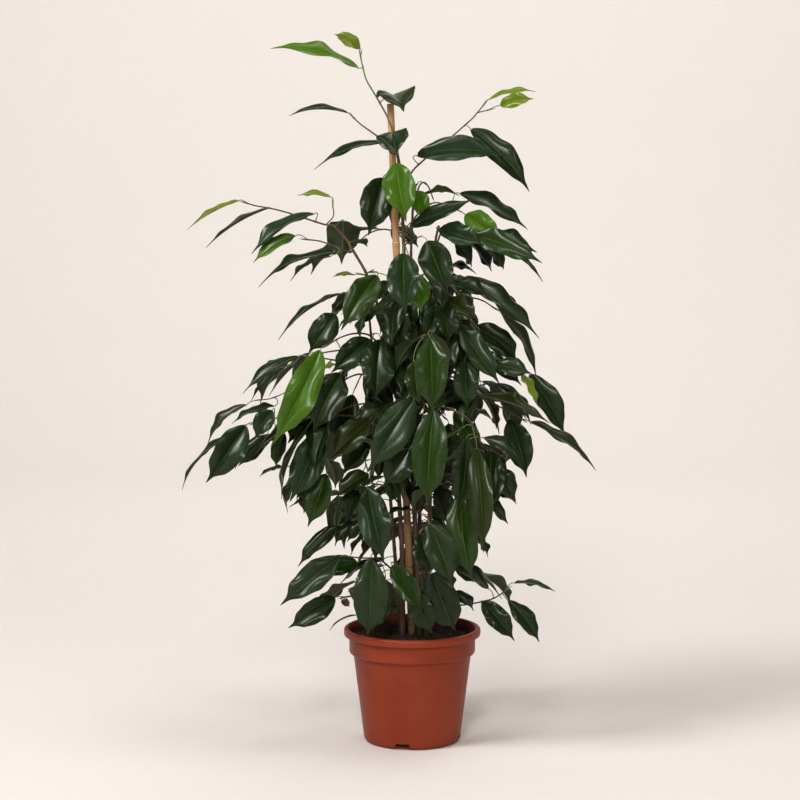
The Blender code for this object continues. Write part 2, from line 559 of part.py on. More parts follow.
class Obstacle:
    """A placed solid, kept for the clearance test with its corners."""

    def __init__(self, solid, owner, kind):
        points, faces = solid
        self.owner = owner
        self.kind = kind
        self.low = Vector([min(point[axis] for point in points) for axis in range(3)])
        self.high = Vector([max(point[axis] for point in points) for axis in range(3)])
        self.tree = BVHTree.FromPolygons(points, faces)

    def meets(self, other):
        """Whether two solids cut through each other."""
        if any(self.low[axis] > other.high[axis] or other.low[axis] > self.high[axis] for axis in range(3)):
            return False
        return bool(self.tree.overlap(other.tree))


def nearest_on(paths, point, back=0.0):
    """The place on some paths nearest to a point, stepped back from there, and never at a path's very end."""
    best = None
    for path in paths:
        whole = sum((end - start).length for start, end in zip(path, path[1:]))
        walked = 0.0
        for start, end in zip(path, path[1:]):
            run = end - start
            share = min(max((point - start).dot(run) / run.length_squared, 0.0), 1.0)
            gap = (start + run * share - point).length
            if best is None or gap < best[0]:
                best = gap, path, min(walked + share * run.length, whole - ROOT_DEPTH)
            walked += run.length
    return at_distance(best[1], max(best[2] - back, ROOT_DEPTH))


def at_distance(path, distance):
    """The place at a distance along a path."""
    for start, end in zip(path, path[1:]):
        length = (end - start).length
        if distance <= length:
            return start.lerp(end, distance / length)
        distance -= length
    return path[-1]


def along_stem(path, height):
    """The centre and direction of a stem at a height, or at its end for None, and the share of its length."""
    if height is None:
        return path[-1], (path[-1] - path[-2]).normalized(), 1.0
    for index, (start, end) in enumerate(zip(path, path[1:])):
        if start.z <= height <= end.z:
            share = (height - start.z) / (end.z - start.z)
            return start.lerp(end, share), (end - start).normalized(), (index + share) / (len(path) - 1)
    raise ValueError(f"no stem at {height}")


def twig_start(stem_name, stem_path, height, first_point):
    """Two points that start a twig square to its stem's bark, just clear of it."""
    thick, thin, _ = STEMS[stem_name]
    centre, direction, share = along_stem(stem_path, height)
    if height is None:
        return [centre + direction * GAP, centre + direction * 6.0]
    away = first_point - centre
    away = (away - direction * away.dot(direction)).normalized()
    radius = thick + (thin - thick) * share
    return [centre + away * (radius + GAP), centre + away * (radius + 5.0)]


def hand_leaf(reading, seed, nudge):
    """A leaf read from the front, eased by a nudge that keeps its place as seen."""
    start, end, width, roll, tone = reading
    out, tip_out, turn = nudge
    base = seen((start[0], start[1], start[2] + out))
    tip = seen((end[0], end[1], end[2] + out + tip_out))
    axis = (tip - base).normalized()
    front = EYE - base
    front = (front - axis * front.dot(axis)).normalized()
    upward = axis.cross(front)
    outward = Vector((math.copysign(0.3, base.x + 10.0), 0.0, 1.0))
    if upward.dot(outward) < 0:
        upward = -upward
    angle = math.radians(roll + turn)
    return Leaf(base, tip, width, front * math.cos(angle) + upward * math.sin(angle), tone, seed)


def rear_leaf(plan, seed, nudge):
    """A leaf of a rear branch, drawn by a rule and eased by a nudge to its heading and its droop."""
    place, heading, size, droop = plan
    swing, dip, turn = nudge
    angle = math.radians(heading + swing * 1.6)
    fall = math.radians(droop + dip * 0.8)
    level = Vector((math.cos(angle), math.sin(angle), 0.0))
    axis = level * math.cos(fall) - UP * math.sin(fall)
    base = place + level * REAR_PETIOLE + UP * REAR_PETIOLE_RISE
    normal = (UP * 0.7 + level * 0.9).lerp(axis.cross(UP), math.sin(math.radians(turn)) * 0.5)
    return Leaf(base, base + axis * size, size * REAR_WIDTH, normal, DARK, seed)


def nudges():
    """Every way to ease a leaf, the slightest first."""
    ways = [(out, tip, roll) for out in OUT_STEPS for tip in TIP_STEPS for roll in ROLL_STEPS]
    return sorted(ways, key=lambda way: abs(way[0]) / 5 + abs(way[1]) / 8 + abs(way[2]) / 12)


def reach_at(height):
    """How far the plant reaches to the left and right at a height, as seen from the front."""
    for low, high in zip(OUTLINE, OUTLINE[1:]):
        if low[0] <= height <= high[0]:
            share = (height - low[0]) / (high[0] - low[0])
            return low[1] + (high[1] - low[1]) * share, low[2] + (high[2] - low[2]) * share
    return 0.0, 0.0


def shows_outside(leaf):
    """Whether a leaf would show past the plant's outline or in one of its gaps, seen from the front."""
    for along in spread(0.0, 1.0, 9):
        for across in (-1, 0, 1):
            point = leaf.point(along, across)
            toward = EYE - point
            on_plane = point + toward * (point.y / -toward.y)
            left, right = reach_at(on_plane.z)
            if not left <= on_plane.x <= right:
                return True
            for low_x, high_x, low_z, high_z in WINDOWS:
                if low_x <= on_plane.x <= high_x and low_z <= on_plane.z <= high_z:
                    return True
    return False


def rear_plan(stem_path, branch, draw):
    """The twig of a rear branch and its leaves: an arch that bends down, with leaves on both sides."""
    _, height, heading, reach, rise, count = branch
    centre = along_stem(stem_path, height)[0]
    level = Vector((math.cos(math.radians(heading)), math.sin(math.radians(heading)), 0.0))
    level_side = Vector((-level.y, level.x, 0.0))
    bow = draw.uniform(-10, 10)
    path = []
    for share in (0.3, 0.55, 0.8, 1.0):
        drop = rise * math.sin(math.pi * share * 0.7) + 14 * share - 34 * share * share
        path.append(centre + level * (reach * share) + level_side * (bow * share * share) + UP * drop)
    leaves = []
    for index in range(count):
        share = (index + 1) / count
        place = along_path(path, share)
        swing = 0.0 if index == count - 1 else (46.0 if index % 2 else -46.0)
        swing += draw.uniform(-14, 14)
        leaves.append((place, heading + swing, draw.uniform(84, 112), draw.uniform(38, 66)))
    return path, leaves


def along_path(path, share):
    """The place at a share of a path's points."""
    position = share * (len(path) - 1)
    index = min(int(position), len(path) - 2)
    return path[index].lerp(path[index + 1], position - index)


class Branch:
    """One leafy branch: its twigs and its leaves with their petioles' roots."""

    def __init__(self, name, stem_name):
        self.name = name
        self.stem_name = stem_name
        self.twigs = []
        self.leaves = []

    def twig_solids(self, grow=0.0):
        """The bars of the twigs, the first the thickest."""
        solids = []
        for index, path in enumerate(self.twigs):
            first, last = (TWIG_RADIUS, TWIG_END_RADIUS) if index == 0 else (FORK_RADIUS, FORK_END_RADIUS)
            radii = spread(first + grow, last + grow, len(path))
            solids.append(tube(path, radii, TWIG_SIDES))
        return solids


def cane_path():
    """The cane's axis."""
    return [seen(CANE_FOOT), seen(CANE_TOP)]


def stem_solid(name, path, grow=0.0, sides=STEM_SIDES):
    """The bar of a rooted stem."""
    thick, thin, _ = STEMS[name]
    return tube(path, spread(thick + grow, thin + grow, len(path)), sides)


def plan_plant():
    """Place every stem, twig and leaf clear of the rest, and give the stems' paths and the branches."""
    stems = {name: smooth_path([seen(place) for place in route], STEM_STEP)
             for name, (_, _, route) in STEMS.items()}
    placed = [Obstacle(tube(cane_path(), [CANE_RADIUS] * 2, CANE_SIDES), "cane", "wood")]
    placed += [Obstacle(stem_solid(name, path), name, "wood") for name, path in stems.items()]
    branches = []
    plans = []
    for name, (stem_name, height, twigs, readings) in BRANCHES.items():
        branch = Branch(name, stem_name)
        for index, route in enumerate(twigs):
            path = [seen(place) for place in route]
            branch.twigs.append(twig_start(stem_name, stems[stem_name], height, path[0]) + path
                                if index == 0 else path)
        branches.append(branch)
        plans += [(branch, hand_leaf, reading) for reading in readings]
    for number, (name, data) in enumerate(REAR_BRANCHES.items()):
        branch = Branch(name, data[0])
        path, leaves = rear_plan(stems[data[0]], data, random.Random(SEED + number))
        branch.twigs.append(twig_start(data[0], stems[data[0]], data[1], path[0]) + path)
        branches.append(branch)
        plans += [(branch, rear_leaf, leaf) for leaf in leaves]
    for branch in branches:
        placed += [Obstacle(solid, branch.name, "wood") for solid in branch.twig_solids()]
    ways = nudges()
    for seed, (branch, maker, plan) in enumerate(plans):
        place_leaf(branch, maker, plan, seed, ways, placed)
    return stems, branches, placed


def place_leaf(branch, maker, plan, seed, ways, placed):
    """Take the slightest nudge that keeps a leaf clear of all that is placed."""
    for way in ways:
        leaf = maker(plan, seed, way)
        if maker is rear_leaf and shows_outside(leaf):
            continue
        for step in ROOT_STEPS:
            root = nearest_on(branch.twigs, leaf.base, step)
            if is_clear(leaf, root, branch, placed):
                branch.leaves.append((leaf, root))
                placed.append(Obstacle(leaf_solid(leaf, root), branch.name, "leaf"))
                return
    if maker is hand_leaf:
        raise ValueError(f"no clear place for leaf {seed} of {branch.name}")


def is_clear(leaf, root, branch, placed):
    """Whether a leaf keeps its clearance to all but the twigs that it may grow from."""
    guard = Obstacle(leaf_solid(leaf, root, CLEARANCE), branch.name, "leaf")
    return not any(guard.meets(other) for other in placed
                   if not (other.kind == "wood" and other.owner == branch.name))


def make_object(name, solid):
    """An object made of points in millimetres and faces."""
    points, faces = solid
    mesh = bpy.data.meshes.new(name)
    mesh.from_pydata([point * MILLIMETRE for point in points], [], faces)
    made = bmesh.new()
    made.from_mesh(mesh)
    bmesh.ops.triangulate(made, faces=[face for face in made.faces if len(face.verts) > 4])
    bmesh.ops.recalc_face_normals(made, faces=made.faces)
    if made.calc_volume(signed=True) < 0:
        bmesh.ops.reverse_faces(made, faces=made.faces)
    made.to_mesh(mesh)
    made.free()
    made_object = bpy.data.objects.new(name, mesh)
    bpy.context.scene.collection.objects.link(made_object)
    return made_object


def finish(target, name, colour, roughness, metallic=0.0):
    """Give an object its own material and a smooth shade between sharp edges."""
    material = bpy.data.materials.new(name)
    material.use_nodes = True
    shader = material.node_tree.nodes["Principled BSDF"]
    shader.inputs["Base Color"].default_value = (*colour, 1.0)
    shader.inputs["Roughness"].default_value = roughness
    shader.inputs["Metallic"].default_value = metallic
    target.data.materials.clear()
    target.data.materials.append(material)
    target.data.shade_smooth()
    target.data.set_sharp_from_angle(angle=math.radians(40))


def combine(target, tools, operation, solver):
    """Apply one Boolean with all the tools to the target, and take the tools out of the scene."""
    group = bpy.data.collections.new(f"{target.name}_tools")
    bpy.context.scene.collection.children.link(group)
    for tool in tools:
        bpy.context.scene.collection.objects.unlink(tool)
        group.objects.link(tool)
    change = target.modifiers.new("combine", "BOOLEAN")
    change.operation = operation
    change.operand_type = "COLLECTION"
    change.collection = group
    change.solver = solver
    bpy.context.view_layer.update()
    evaluated = target.evaluated_get(bpy.context.evaluated_depsgraph_get())
    mesh = bpy.data.meshes.new_from_object(evaluated)
    target.modifiers.clear()
    old = target.data
    target.data = mesh
    bpy.data.meshes.remove(old)
    mesh.name = target.name
    for tool in tools:
        data = tool.data
        bpy.data.objects.remove(tool)
        bpy.data.meshes.remove(data)
    bpy.data.collections.remove(group)


def lathe(profile, sides):
    """A turned solid from a profile that starts and ends on the axis."""
    rim = profile[1:-1]
    points = []
    for radius, height in rim:
        for side in range(sides):
            angle = math.tau * side / sides
            points.append(Vector((radius * math.cos(angle), radius * math.sin(angle), height)))
    points += [Vector((0.0, 0.0, profile[0][1])), Vector((0.0, 0.0, profile[-1][1]))]
    start = len(points) - 2
    faces = []
    for ring in range(len(rim) - 1):
        faces += ring_faces(ring * sides, (ring + 1) * sides, sides)
    last = (len(rim) - 1) * sides
    faces += [(start, (side + 1) % sides, side) for side in range(sides)]
    faces += [(start + 1, last + side, last + (side + 1) % sides) for side in range(sides)]
    return points, faces


def inner_profile():
    """The pot's inside from its floor to its mouth, as radius and height."""
    return [(POT_FOOT_RADIUS - 10.0, POT_WALL), (POT_FOOT_RADIUS - 4.5, 8.0),
            (POT_NECK_RADIUS - POT_WALL, POT_NECK_HEIGHT + 0.5),
            (COLLAR_RADIUS - POT_WALL, COLLAR_HEIGHT + 1.0),
            (COLLAR_RADIUS - POT_WALL, POT_HEIGHT - 8.0), (COLLAR_RADIUS, POT_HEIGHT - 1.0)]


def pot_profile():
    """The pot from the middle of its underside, up the outside, over the rolled rim and down the inside."""
    under_rim = POT_HEIGHT - RIM_HEIGHT
    outside = [(POT_FOOT_RADIUS - 6.5, 0.0), (POT_FOOT_RADIUS - 2.0, 2.0), (POT_FOOT_RADIUS, 7.0),
               (POT_NECK_RADIUS, POT_NECK_HEIGHT), (POT_NECK_RADIUS + 2.5, POT_NECK_HEIGHT + 4.0),
               (COLLAR_RADIUS, COLLAR_HEIGHT), (COLLAR_RADIUS, under_rim),
               (RIM_RADIUS - 1.0, under_rim + 1.0),
               (RIM_RADIUS, under_rim + RIM_HEIGHT / 2), (RIM_RADIUS - 1.0, POT_HEIGHT - 2.0),
               (RIM_RADIUS - 3.5, POT_HEIGHT)]
    return [(0.0, 0.0)] + outside + list(reversed(inner_profile())) + [(0.0, POT_WALL)]


def notch_cutter(index):
    """A wedge that cuts one drain notch through the foot of the wall."""
    angle = NOTCH_TURN + math.tau * index / NOTCH_COUNT
    outward = Vector((math.cos(angle), math.sin(angle), 0.0))
    sideways = Vector((-outward.y, outward.x, 0.0))
    near = POT_FOOT_RADIUS - NOTCH_DEPTH
    far = POT_FOOT_RADIUS + 5.0
    points = []
    for reach in (near, far):
        for half, height in ((NOTCH_WIDTH / 2, -1.0), (NOTCH_TOP_WIDTH / 2, NOTCH_HEIGHT)):
            points += [outward * reach + sideways * half * sign + UP * height for sign in (-1, 1)]
    faces = [(0, 1, 3, 2), (4, 6, 7, 5), (0, 4, 5, 1), (2, 3, 7, 6), (0, 2, 6, 4), (1, 5, 7, 3)]
    return make_object(f"notch_cutter_{index}", (points, faces))


def build_pot():
    """The nursery pot with its drain notches."""
    pot = make_object("pot", lathe(pot_profile(), POT_SIDES))
    combine(pot, [notch_cutter(index) for index in range(NOTCH_COUNT)], "DIFFERENCE", "EXACT")
    finish(pot, "terracotta_plastic", (0.30, 0.075, 0.035), 0.45)


def lump(angle, radius):
    """The height of the soil's lumps, as a sum of waves that never line up."""
    return (math.sin(3 * angle + radius * 0.11) + math.sin(7 * angle - radius * 0.23 + 1.0)
            + math.sin(radius * 0.31 + 2 * angle)) * SOIL_LUMP / 3


def build_soil(stems):
    """The soil that fills the pot, with a plain hole for the cane and for each stem."""
    side = [(radius - GAP, height + GAP) for radius, height in inner_profile()[:4]]
    crown = SOIL_HEIGHT + SOIL_CROWN
    top = [(COLLAR_RADIUS - POT_WALL - GAP, SOIL_HEIGHT - 2.0), (62.0, SOIL_HEIGHT), (32.0, crown)]
    points, faces = lathe([(0.0, POT_WALL + GAP)] + side + top + [(0.0, crown)], POT_SIDES)
    for point in points:
        if point.z > COLLAR_HEIGHT + 5.0:
            point.z += lump(math.atan2(point.y, point.x), math.hypot(point.x, point.y))
    soil = make_object("soil", (points, faces))
    holes = []
    for name, path in stems.items():
        buried = path[:1 + sum(point.z < SOIL_HEIGHT + 10.0 for point in path)]
        hole = [buried[0] - (buried[1] - buried[0]).normalized() * GAP] + buried[1:]
        radius = STEMS[name][0] + 2 * GAP
        holes.append(make_object(f"hole_{name}", tube(hole, [radius] * len(hole), STEM_SIDES)))
    foot, cane_top = cane_path()
    lean = (cane_top - foot).normalized()
    hole = tube([foot - lean * GAP, foot + lean * SOIL_HEIGHT], [CANE_RADIUS + 2 * GAP] * 2, CANE_SIDES)
    holes.append(make_object("hole_cane", hole))
    combine(soil, holes, "DIFFERENCE", "EXACT")
    finish(soil, "potting_soil", (0.018, 0.012, 0.008), 0.95)


def build_cane():
    """The bamboo cane with its swollen knots and the bore at its cut top."""
    foot, top = cane_path()
    lean = (top - foot).normalized()
    length = (top - foot).length
    stops = [(0.0, CANE_RADIUS)]
    for height in CANE_KNOTS:
        middle = (height - foot.z) / lean.z
        stops += [(middle - 5.0, CANE_RADIUS), (middle, CANE_RADIUS + 0.6), (middle + 5.0, CANE_RADIUS)]
    stops += [(length, CANE_RADIUS), (length, CANE_BORE), (length - CANE_BORE_DEPTH, CANE_BORE)]
    across = lean.orthogonal().normalized()
    other = lean.cross(across)
    points = []
    for distance, radius in stops:
        for side in range(CANE_SIDES):
            angle = math.tau * side / CANE_SIDES
            spoke = across * math.cos(angle) + other * math.sin(angle)
            points.append(foot + lean * distance + spoke * radius)
    faces = [tuple(range(CANE_SIDES)), tuple(range(len(points) - CANE_SIDES, len(points)))]
    for ring in range(len(stops) - 1):
        faces += ring_faces(ring * CANE_SIDES, (ring + 1) * CANE_SIDES, CANE_SIDES)
    finish(make_object("cane", (points, faces)), "bamboo", (0.42, 0.27, 0.11), 0.55)


def build_branch(branch):
    """One leafy branch as a single solid: its twigs with every petiole sunk to their core."""
    solids = branch.twig_solids() + [leaf_solid(leaf, root) for leaf, root in branch.leaves]
    parts = [make_object(f"{branch.name}_{index}", solid) for index, solid in enumerate(solids)]
    body = parts[0]
    body.name = f"branch_{branch.name}"
    combine(body, parts[1:], "UNION", "MANIFOLD")
    tones = [leaf.tone for leaf, _ in branch.leaves]
    finish(body, f"leaf_{branch.name}", TONE_COLOURS[max(set(tones), key=tones.count)], 0.4)


def main():
    """Clear the scene and build the plant in its pot."""
    for old in list(bpy.data.objects):
        bpy.data.objects.remove(old)
    stems, branches, _ = plan_plant()
    build_pot()
    build_soil(stems)
    build_cane()
    for name, path in stems.items():
        stem = make_object(f"stem_{name}", stem_solid(name, path))
        finish(stem, f"bark_{name}", (0.10, 0.055, 0.03), 0.8)
    for branch in branches:
        build_branch(branch)


if __name__ == "__main__":
    main()
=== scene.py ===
"""The looks of the potted weeping fig: its leaves, wood, cane, soil and pot as fine meshes with finishes.

Sizes are in millimetres and are turned into metres as each mesh is made. The plant is laid out by the same
rules as its solids, so each fine branch lies where its solid is. A place on the plant is written as
(across, up, out): where it is seen on the upright plane through the pot's axis, and how far it stands out of
that plane to the viewer. The places and sizes in the finishes are in metres, as are the stage's.
"""
import math
import random

import bmesh
import bpy
import numpy as np
from mathutils import Matrix, Vector, noise
from mathutils.bvhtree import BVHTree


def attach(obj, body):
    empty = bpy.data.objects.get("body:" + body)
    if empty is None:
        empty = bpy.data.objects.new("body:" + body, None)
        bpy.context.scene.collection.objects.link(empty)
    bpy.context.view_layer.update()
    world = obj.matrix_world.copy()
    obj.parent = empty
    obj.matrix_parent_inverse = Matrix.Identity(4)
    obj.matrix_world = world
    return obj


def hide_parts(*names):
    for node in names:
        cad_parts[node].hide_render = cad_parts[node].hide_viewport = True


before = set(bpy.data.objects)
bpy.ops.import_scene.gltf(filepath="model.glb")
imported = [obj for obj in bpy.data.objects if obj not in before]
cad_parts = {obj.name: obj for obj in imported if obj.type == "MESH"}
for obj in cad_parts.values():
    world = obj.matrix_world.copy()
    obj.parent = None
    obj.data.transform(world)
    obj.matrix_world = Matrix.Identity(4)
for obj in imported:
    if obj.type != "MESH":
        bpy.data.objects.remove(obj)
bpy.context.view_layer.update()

MILLIMETRE = 0.001
EYE = Vector((-17.0, -3200.0, 820.0))
UP = Vector((0.0, 0.0, 1.0))
PLANT_MIDDLE = -10.0

# The seed of every random draw, and what is added to it for the looks of stems, branches and inner leaves,
# for the places of the inner leaves and for the soil.
SEED = 41
STEM_DRAWS = 300
BRANCH_DRAWS = 700
INNER_DRAWS = 900
FILL_DRAWS = 5000
SOIL_DRAWS = 90

# The camera, as the photograph was taken, and the pale studio round it. The floor is round, and its edge
# sweeps up into the wall.
LENS = 105.2
LOOK_DOWN = 6.13
DISPLAY_GAMMA = 0.87
WORLD_LIGHT = 0.05
LIGHT_COLOUR = (1.0, 0.985, 0.965)
FLOOR_COLOUR = (0.74, 0.708, 0.682)
FLOOR_MIDDLE = -2.3
FLOOR_RADIUS = 6.8
FLOOR_SIDES = 128
SWEEP_SIZE = 1.8
WALL_HEIGHT = 6.0

# The lights: where each is, where it looks, its size and its power.
LIGHTS = {
    "key_light": ((-2.0, -1.4, 3.1), (0.0, 0.0, 0.45), (1.0, 1.0), 88.0),
    "front_light": ((-0.3, -2.9, 2.05), (0.0, 0.0, 0.5), (0.55, 0.7), 46.0),
    "fill_light": ((1.9, -2.5, 1.4), (0.0, 0.0, 0.5), (0.6, 0.6), 12.0),
    "top_light": ((0.9, -0.4, 3.5), (0.4, 0.2, 0.0), (1.4, 1.4), 34.0),
    "rear_light": ((1.3, 2.3, 2.7), (0.0, 0.0, 0.6), (1.2, 1.2), 10.0),
    "backdrop_light": ((0.1, 2.0, 3.1), (0.0, 4.4, 0.7), (3.6, 1.0), 68.0),
    "far_light": ((0.0, -5.2, 3.4), (0.0, -9.0, 0.8), (5.0, 1.2), 120.0),
}

# The angle in degrees from which an edge is drawn sharp.
LEAF_SHARP = 40.0
POT_SHARP = 32.0
CANE_SHARP = 50.0
SOIL_SHARP = 60.0

# The pot: its fineness, its tapered body with a rounded foot, the collar above the neck, the rolled rim, and
# the drain notches in its foot.
FINE_POT_SIDES = 144
POT_HEIGHT = 159.0
POT_WALL = 2.0
POT_FOOT_RADIUS = 67.5
FOOT_ROUND = 7.0
POT_NECK_RADIUS = 81.5
POT_NECK_HEIGHT = 121.0
COLLAR_RADIUS = 87.5
COLLAR_HEIGHT = 130.0
RIM_RADIUS = 95.0
RIM_HEIGHT = 10.5
NOTCH_COUNT = 4
NOTCH_WIDTH = 24.0
NOTCH_TOP_WIDTH = 18.0
NOTCH_HEIGHT = 9.0
NOTCH_DEPTH = 9.0
NOTCH_TURN = math.radians(-102.0)

# The soil: the gap that a solid keeps to its neighbours, the height, crown and reach of its surface, and
# its fineness. Then the lumps on it, crumbs of peat and chips of bark: how many there are, their
# fineness, how far out they lie, the share that are chips, and their sizes.
GAP = 0.35
SOIL_HEIGHT = 146.0
SOIL_CROWN = 3.0
SOIL_REACH = 85.0
SOIL_RINGS = 52
FINE_SOIL_SIDES = 150
LUMP_COUNT = 420
LUMP_SIDES = 7
LUMP_REACH = 81.0
CHIP_SHARE = 0.3
CHIP_SIZE = (1.6, 4.2)
CRUMB_SIZE = (0.9, 3.0)

# The bamboo cane, from its foot in the soil to its thinner, cut top. It is drawn by even steps along it,
# and by closer ones round each knot.
CANE_RADIUS = 5.0
CANE_TAPER = 0.25
CANE_BORE = 1.7
CANE_BORE_DEPTH = 14.0
CANE_FOOT = (4.5, 22, 0)
CANE_TOP = (-30, 881, 0)
CANE_KNOTS = (295, 486, 690)
KNOT_STEPS = (-5, -3.5, -2.4, -1.6, -0.9, -0.3, 0.3, 1.0, 1.8, 2.8, 4.2)
CANE_STEP = 6.0
CANE_SIDES = 8
FINE_CANE_SIDES = 40

# The wood as solids: how many sides a bar has in section, the steps along a stem, and the radii of twigs
# and petioles from root to end. A twig's second point lies a foot's length out from the bark, or past the
# end of a stem. A petiole under the short length is straight, and any other bends at a share of its
# length from the blade. Its root keeps clear of a twig's ends by the root's depth.
STEM_SIDES = 6
TWIG_SIDES = 4
STEM_STEP = 55.0
TWIG_RADIUS = 1.45
TWIG_END_RADIUS = 1.0
FORK_RADIUS = 0.95
FORK_END_RADIUS = 0.8
TWIG_FOOT = 5.0
TOP_TWIG_FOOT = 6.0
PETIOLE_RADIUS = 0.7
SHORT_PETIOLE = 20.0
PETIOLE_BEND = 0.45
ROOT_DEPTH = 2.5

# The wood as fine meshes: the fineness of bark, twigs and petioles, and how much of a solid's radius they
# have. A stem flares at the soil and swells at its leaf scars, and a twig swells where a leaf leaves it.
# A petiole ends under the midrib, at places as (along, above), and its radii run from the twig on. A bud
# is drawn as (distance past the twig's end, share of its radius).
BARK_SIDES = 16
BARK_STEP = 5.0
BARK_SHARE = 0.97
STEM_FLARE = 0.22
FLARE_HEIGHT = 9.0
SCAR_FIRST = (15, 30)
SCAR_STEP = (20, 34)
SCAR_RISE = 0.3
SCAR_LENGTH = 2.0
FINE_TWIG_SIDES = 10
FINE_TWIG_STEP = 3.0
TWIG_SHARE = 0.92
TWIG_END_SHARE = 0.85
BUD_SHARE = 0.9
SWELL_RISE = 0.32
SWELL_LENGTH = 2.2
THIN_SIDES = 8
PETIOLE_STEPS = 9
PETIOLE_ENDS = ((0.0, -0.35), (0.03, -0.55), (0.075, -0.6))
PETIOLE_RADII = (0.85, 0.72, 0.64, 0.6, 0.58, 0.58, 0.58, 0.6, 0.62, 0.66, 0.6, 0.3)
BUD = ((-1.5, 0.9), (0.0, 1.05), (2.0, 1.15), (4.5, 0.8), (7.0, 0.42), (9.0, 0.12))

# The leaves as solids: the thickness of a blade, and the places along it of the sections that shape it. A
# leaf under the short length, or that starts behind the plant's middle, has fewer.
BLADE = 0.7
LONG_SECTIONS = (0.14, 0.40, 0.66, 0.85)
SHORT_SECTIONS = (0.17, 0.5, 0.8)
SHORT_LEAF = 95.0
BEHIND = 15.0

# What is drawn by lot for a leaf: its arch, its fold and twist in degrees, the size of its waves as a
# share of its width and their number, its bend to a side, and the droop of its tip, which starts at the
# hook's start.
ARCH = (0.05, 0.10)
FOLD = (10, 22)
WAVE = (0.05, 0.11)
WAVE_COUNT = (1.5, 2.4)
SWAY = (-0.03, 0.03)
TWIST = (-28, 28)
HOOK = (0.0, 0.05)
HOOK_START = 0.6

# The leaves as fine meshes: the places along a blade, and across it from margin to margin, then its
# thickness, the bulge of each half, the midrib's ridge below and groove above, and the frill of the
# margins: how far it sways, and its height as a share of the width, its waves and the shift from margin to
# margin, drawn by lot.
ROWS = 29
COLUMNS = (-1.0, -0.95, -0.8, -0.62, -0.44, -0.26, -0.12, -0.045, 0.0,
           0.045, 0.12, 0.26, 0.44, 0.62, 0.8, 0.95, 1.0)
INNER_ROWS = 15
INNER_COLUMNS = (-1.0, -0.85, -0.5, -0.2, -0.06, 0.0, 0.06, 0.2, 0.5, 0.85, 1.0)
BLADE_THICK = 0.5
BULGE = 0.13
MIDRIB_DEPTH = 0.75
MIDRIB_GROOVE = 0.22
MIDRIB_WIDTH = 0.07
FRILL_SWAY = 0.022
FRILL_HEIGHT = (0.018, 0.048)
FRILL_COUNT = (2.6, 3.8)
FRILL_SHIFT = (0.5, 5.5)

# A rear leaf: its share of width to length, how far its petiole reaches out and up, how much a nudge
# swings and dips it, and its length and droop, drawn by lot. A rear twig's points lie at shares of its
# reach, and its leaves stand off to both sides by the spread, give or take the stray.
REAR_WIDTH = 0.43
REAR_PETIOLE = 13.0
REAR_PETIOLE_RISE = 2.0
REAR_SWING = 1.6
REAR_DIP = 0.8
REAR_LENGTH = (84, 112)
REAR_DROOP = (38, 66)
REAR_SHARES = (0.3, 0.55, 0.8, 1.0)
REAR_SPREAD = 46.0
REAR_STRAY = 14.0

# The smaller inner leaves: the reach of their stalks and how far these rise, their length, width and
# droop, how far apart they are tried along the wood, and how many headings are tried at each place. Their
# tips keep within a reach of the plant's middle and a depth to the front and back. Under the middle height
# they keep behind the stems.
INNER_STALK = (10.0, 20.0)
INNER_RISE = (-4.0, 5.0)
INNER_LENGTH = (52.0, 92.0)
INNER_WIDTH = (0.40, 0.47)
INNER_DROOP = (28.0, 76.0)
INNER_LEAN = (-0.35, 0.35)
INNER_STEP = 13.0
INNER_STEM_STEP = 7.0
INNER_FIRST = 70.0
INNER_TRIES = 9
INNER_TURN = 137.5
INNER_REACH = 115.0
INNER_DEPTH = 110.0
INNER_BEHIND = 6.0
INNER_LOWEST = 165.0
INNER_MIDDLE = 325.0
INNER_HIGHEST = 640.0

# How far a leaf keeps from what is already placed, and how it may be eased to get there: the whole leaf out
# or in, its tip out or in, its roll in degrees, and its petiole's root back along the twig.
CLEARANCE = 0.85
OUT_STEPS = (0, 5, -5, 10, -10, 16, -16, 23, -23, 31, -31, 40, -40, 52, -52, 66, -66)
TIP_STEPS = (0, 10, -10, 20, -20, 32, -32)
ROLL_STEPS = (0, 12, -12, 25, -25, 40, -40)
ROOT_STEPS = (0.0, 5.0, 10.0, 16.0)

# Leaf tones, from the yellow green of a new leaf to the brown of a dry one, and the tones drawn for the
# inner leaves.
# The grey tone is a dark green leaf made lighter and bluer: painted sheen.
FRESH, BRIGHT, MID, DARK, SHEEN_GREY, OLIVE, BROWN = range(7)
INNER_TONES = (DARK, DARK, SHEEN_GREY, MID, OLIVE)

# What a face of a branch belongs to: the blade's two sides or the wood.
BLADE_SLOT, WOOD_SLOT = 0, 1

# Colours, as linear red, green and blue. The plain one is for pieces whose finish reads no tint.
# The grey tone's colour is dark green made lighter and bluer: painted sheen, not a real grey leaf.
LEAF_COLOURS = {FRESH: (0.130, 0.175, 0.008), BRIGHT: (0.056, 0.130, 0.003), MID: (0.0138, 0.0380, 0.0014),
                DARK: (0.0076, 0.0215, 0.0014), SHEEN_GREY: (0.0128, 0.0320, 0.0070),
                OLIVE: (0.0210, 0.0325, 0.0036), BROWN: (0.075, 0.040, 0.018)}
YOUNG_TWIG = (0.20, 0.19, 0.08)
OLD_TWIG = (0.120, 0.080, 0.042)
PETIOLE_COLOUR = (0.19, 0.24, 0.08)
SOIL_COLOUR = (0.034, 0.017, 0.009)
CHIP_COLOURS = ((0.070, 0.034, 0.016), (0.040, 0.020, 0.010), (0.120, 0.062, 0.030))
CRUMB_COLOURS = ((0.018, 0.010, 0.006), (0.034, 0.019, 0.011), (0.052, 0.028, 0.015))
PLAIN = (0.5, 0.5, 0.5)
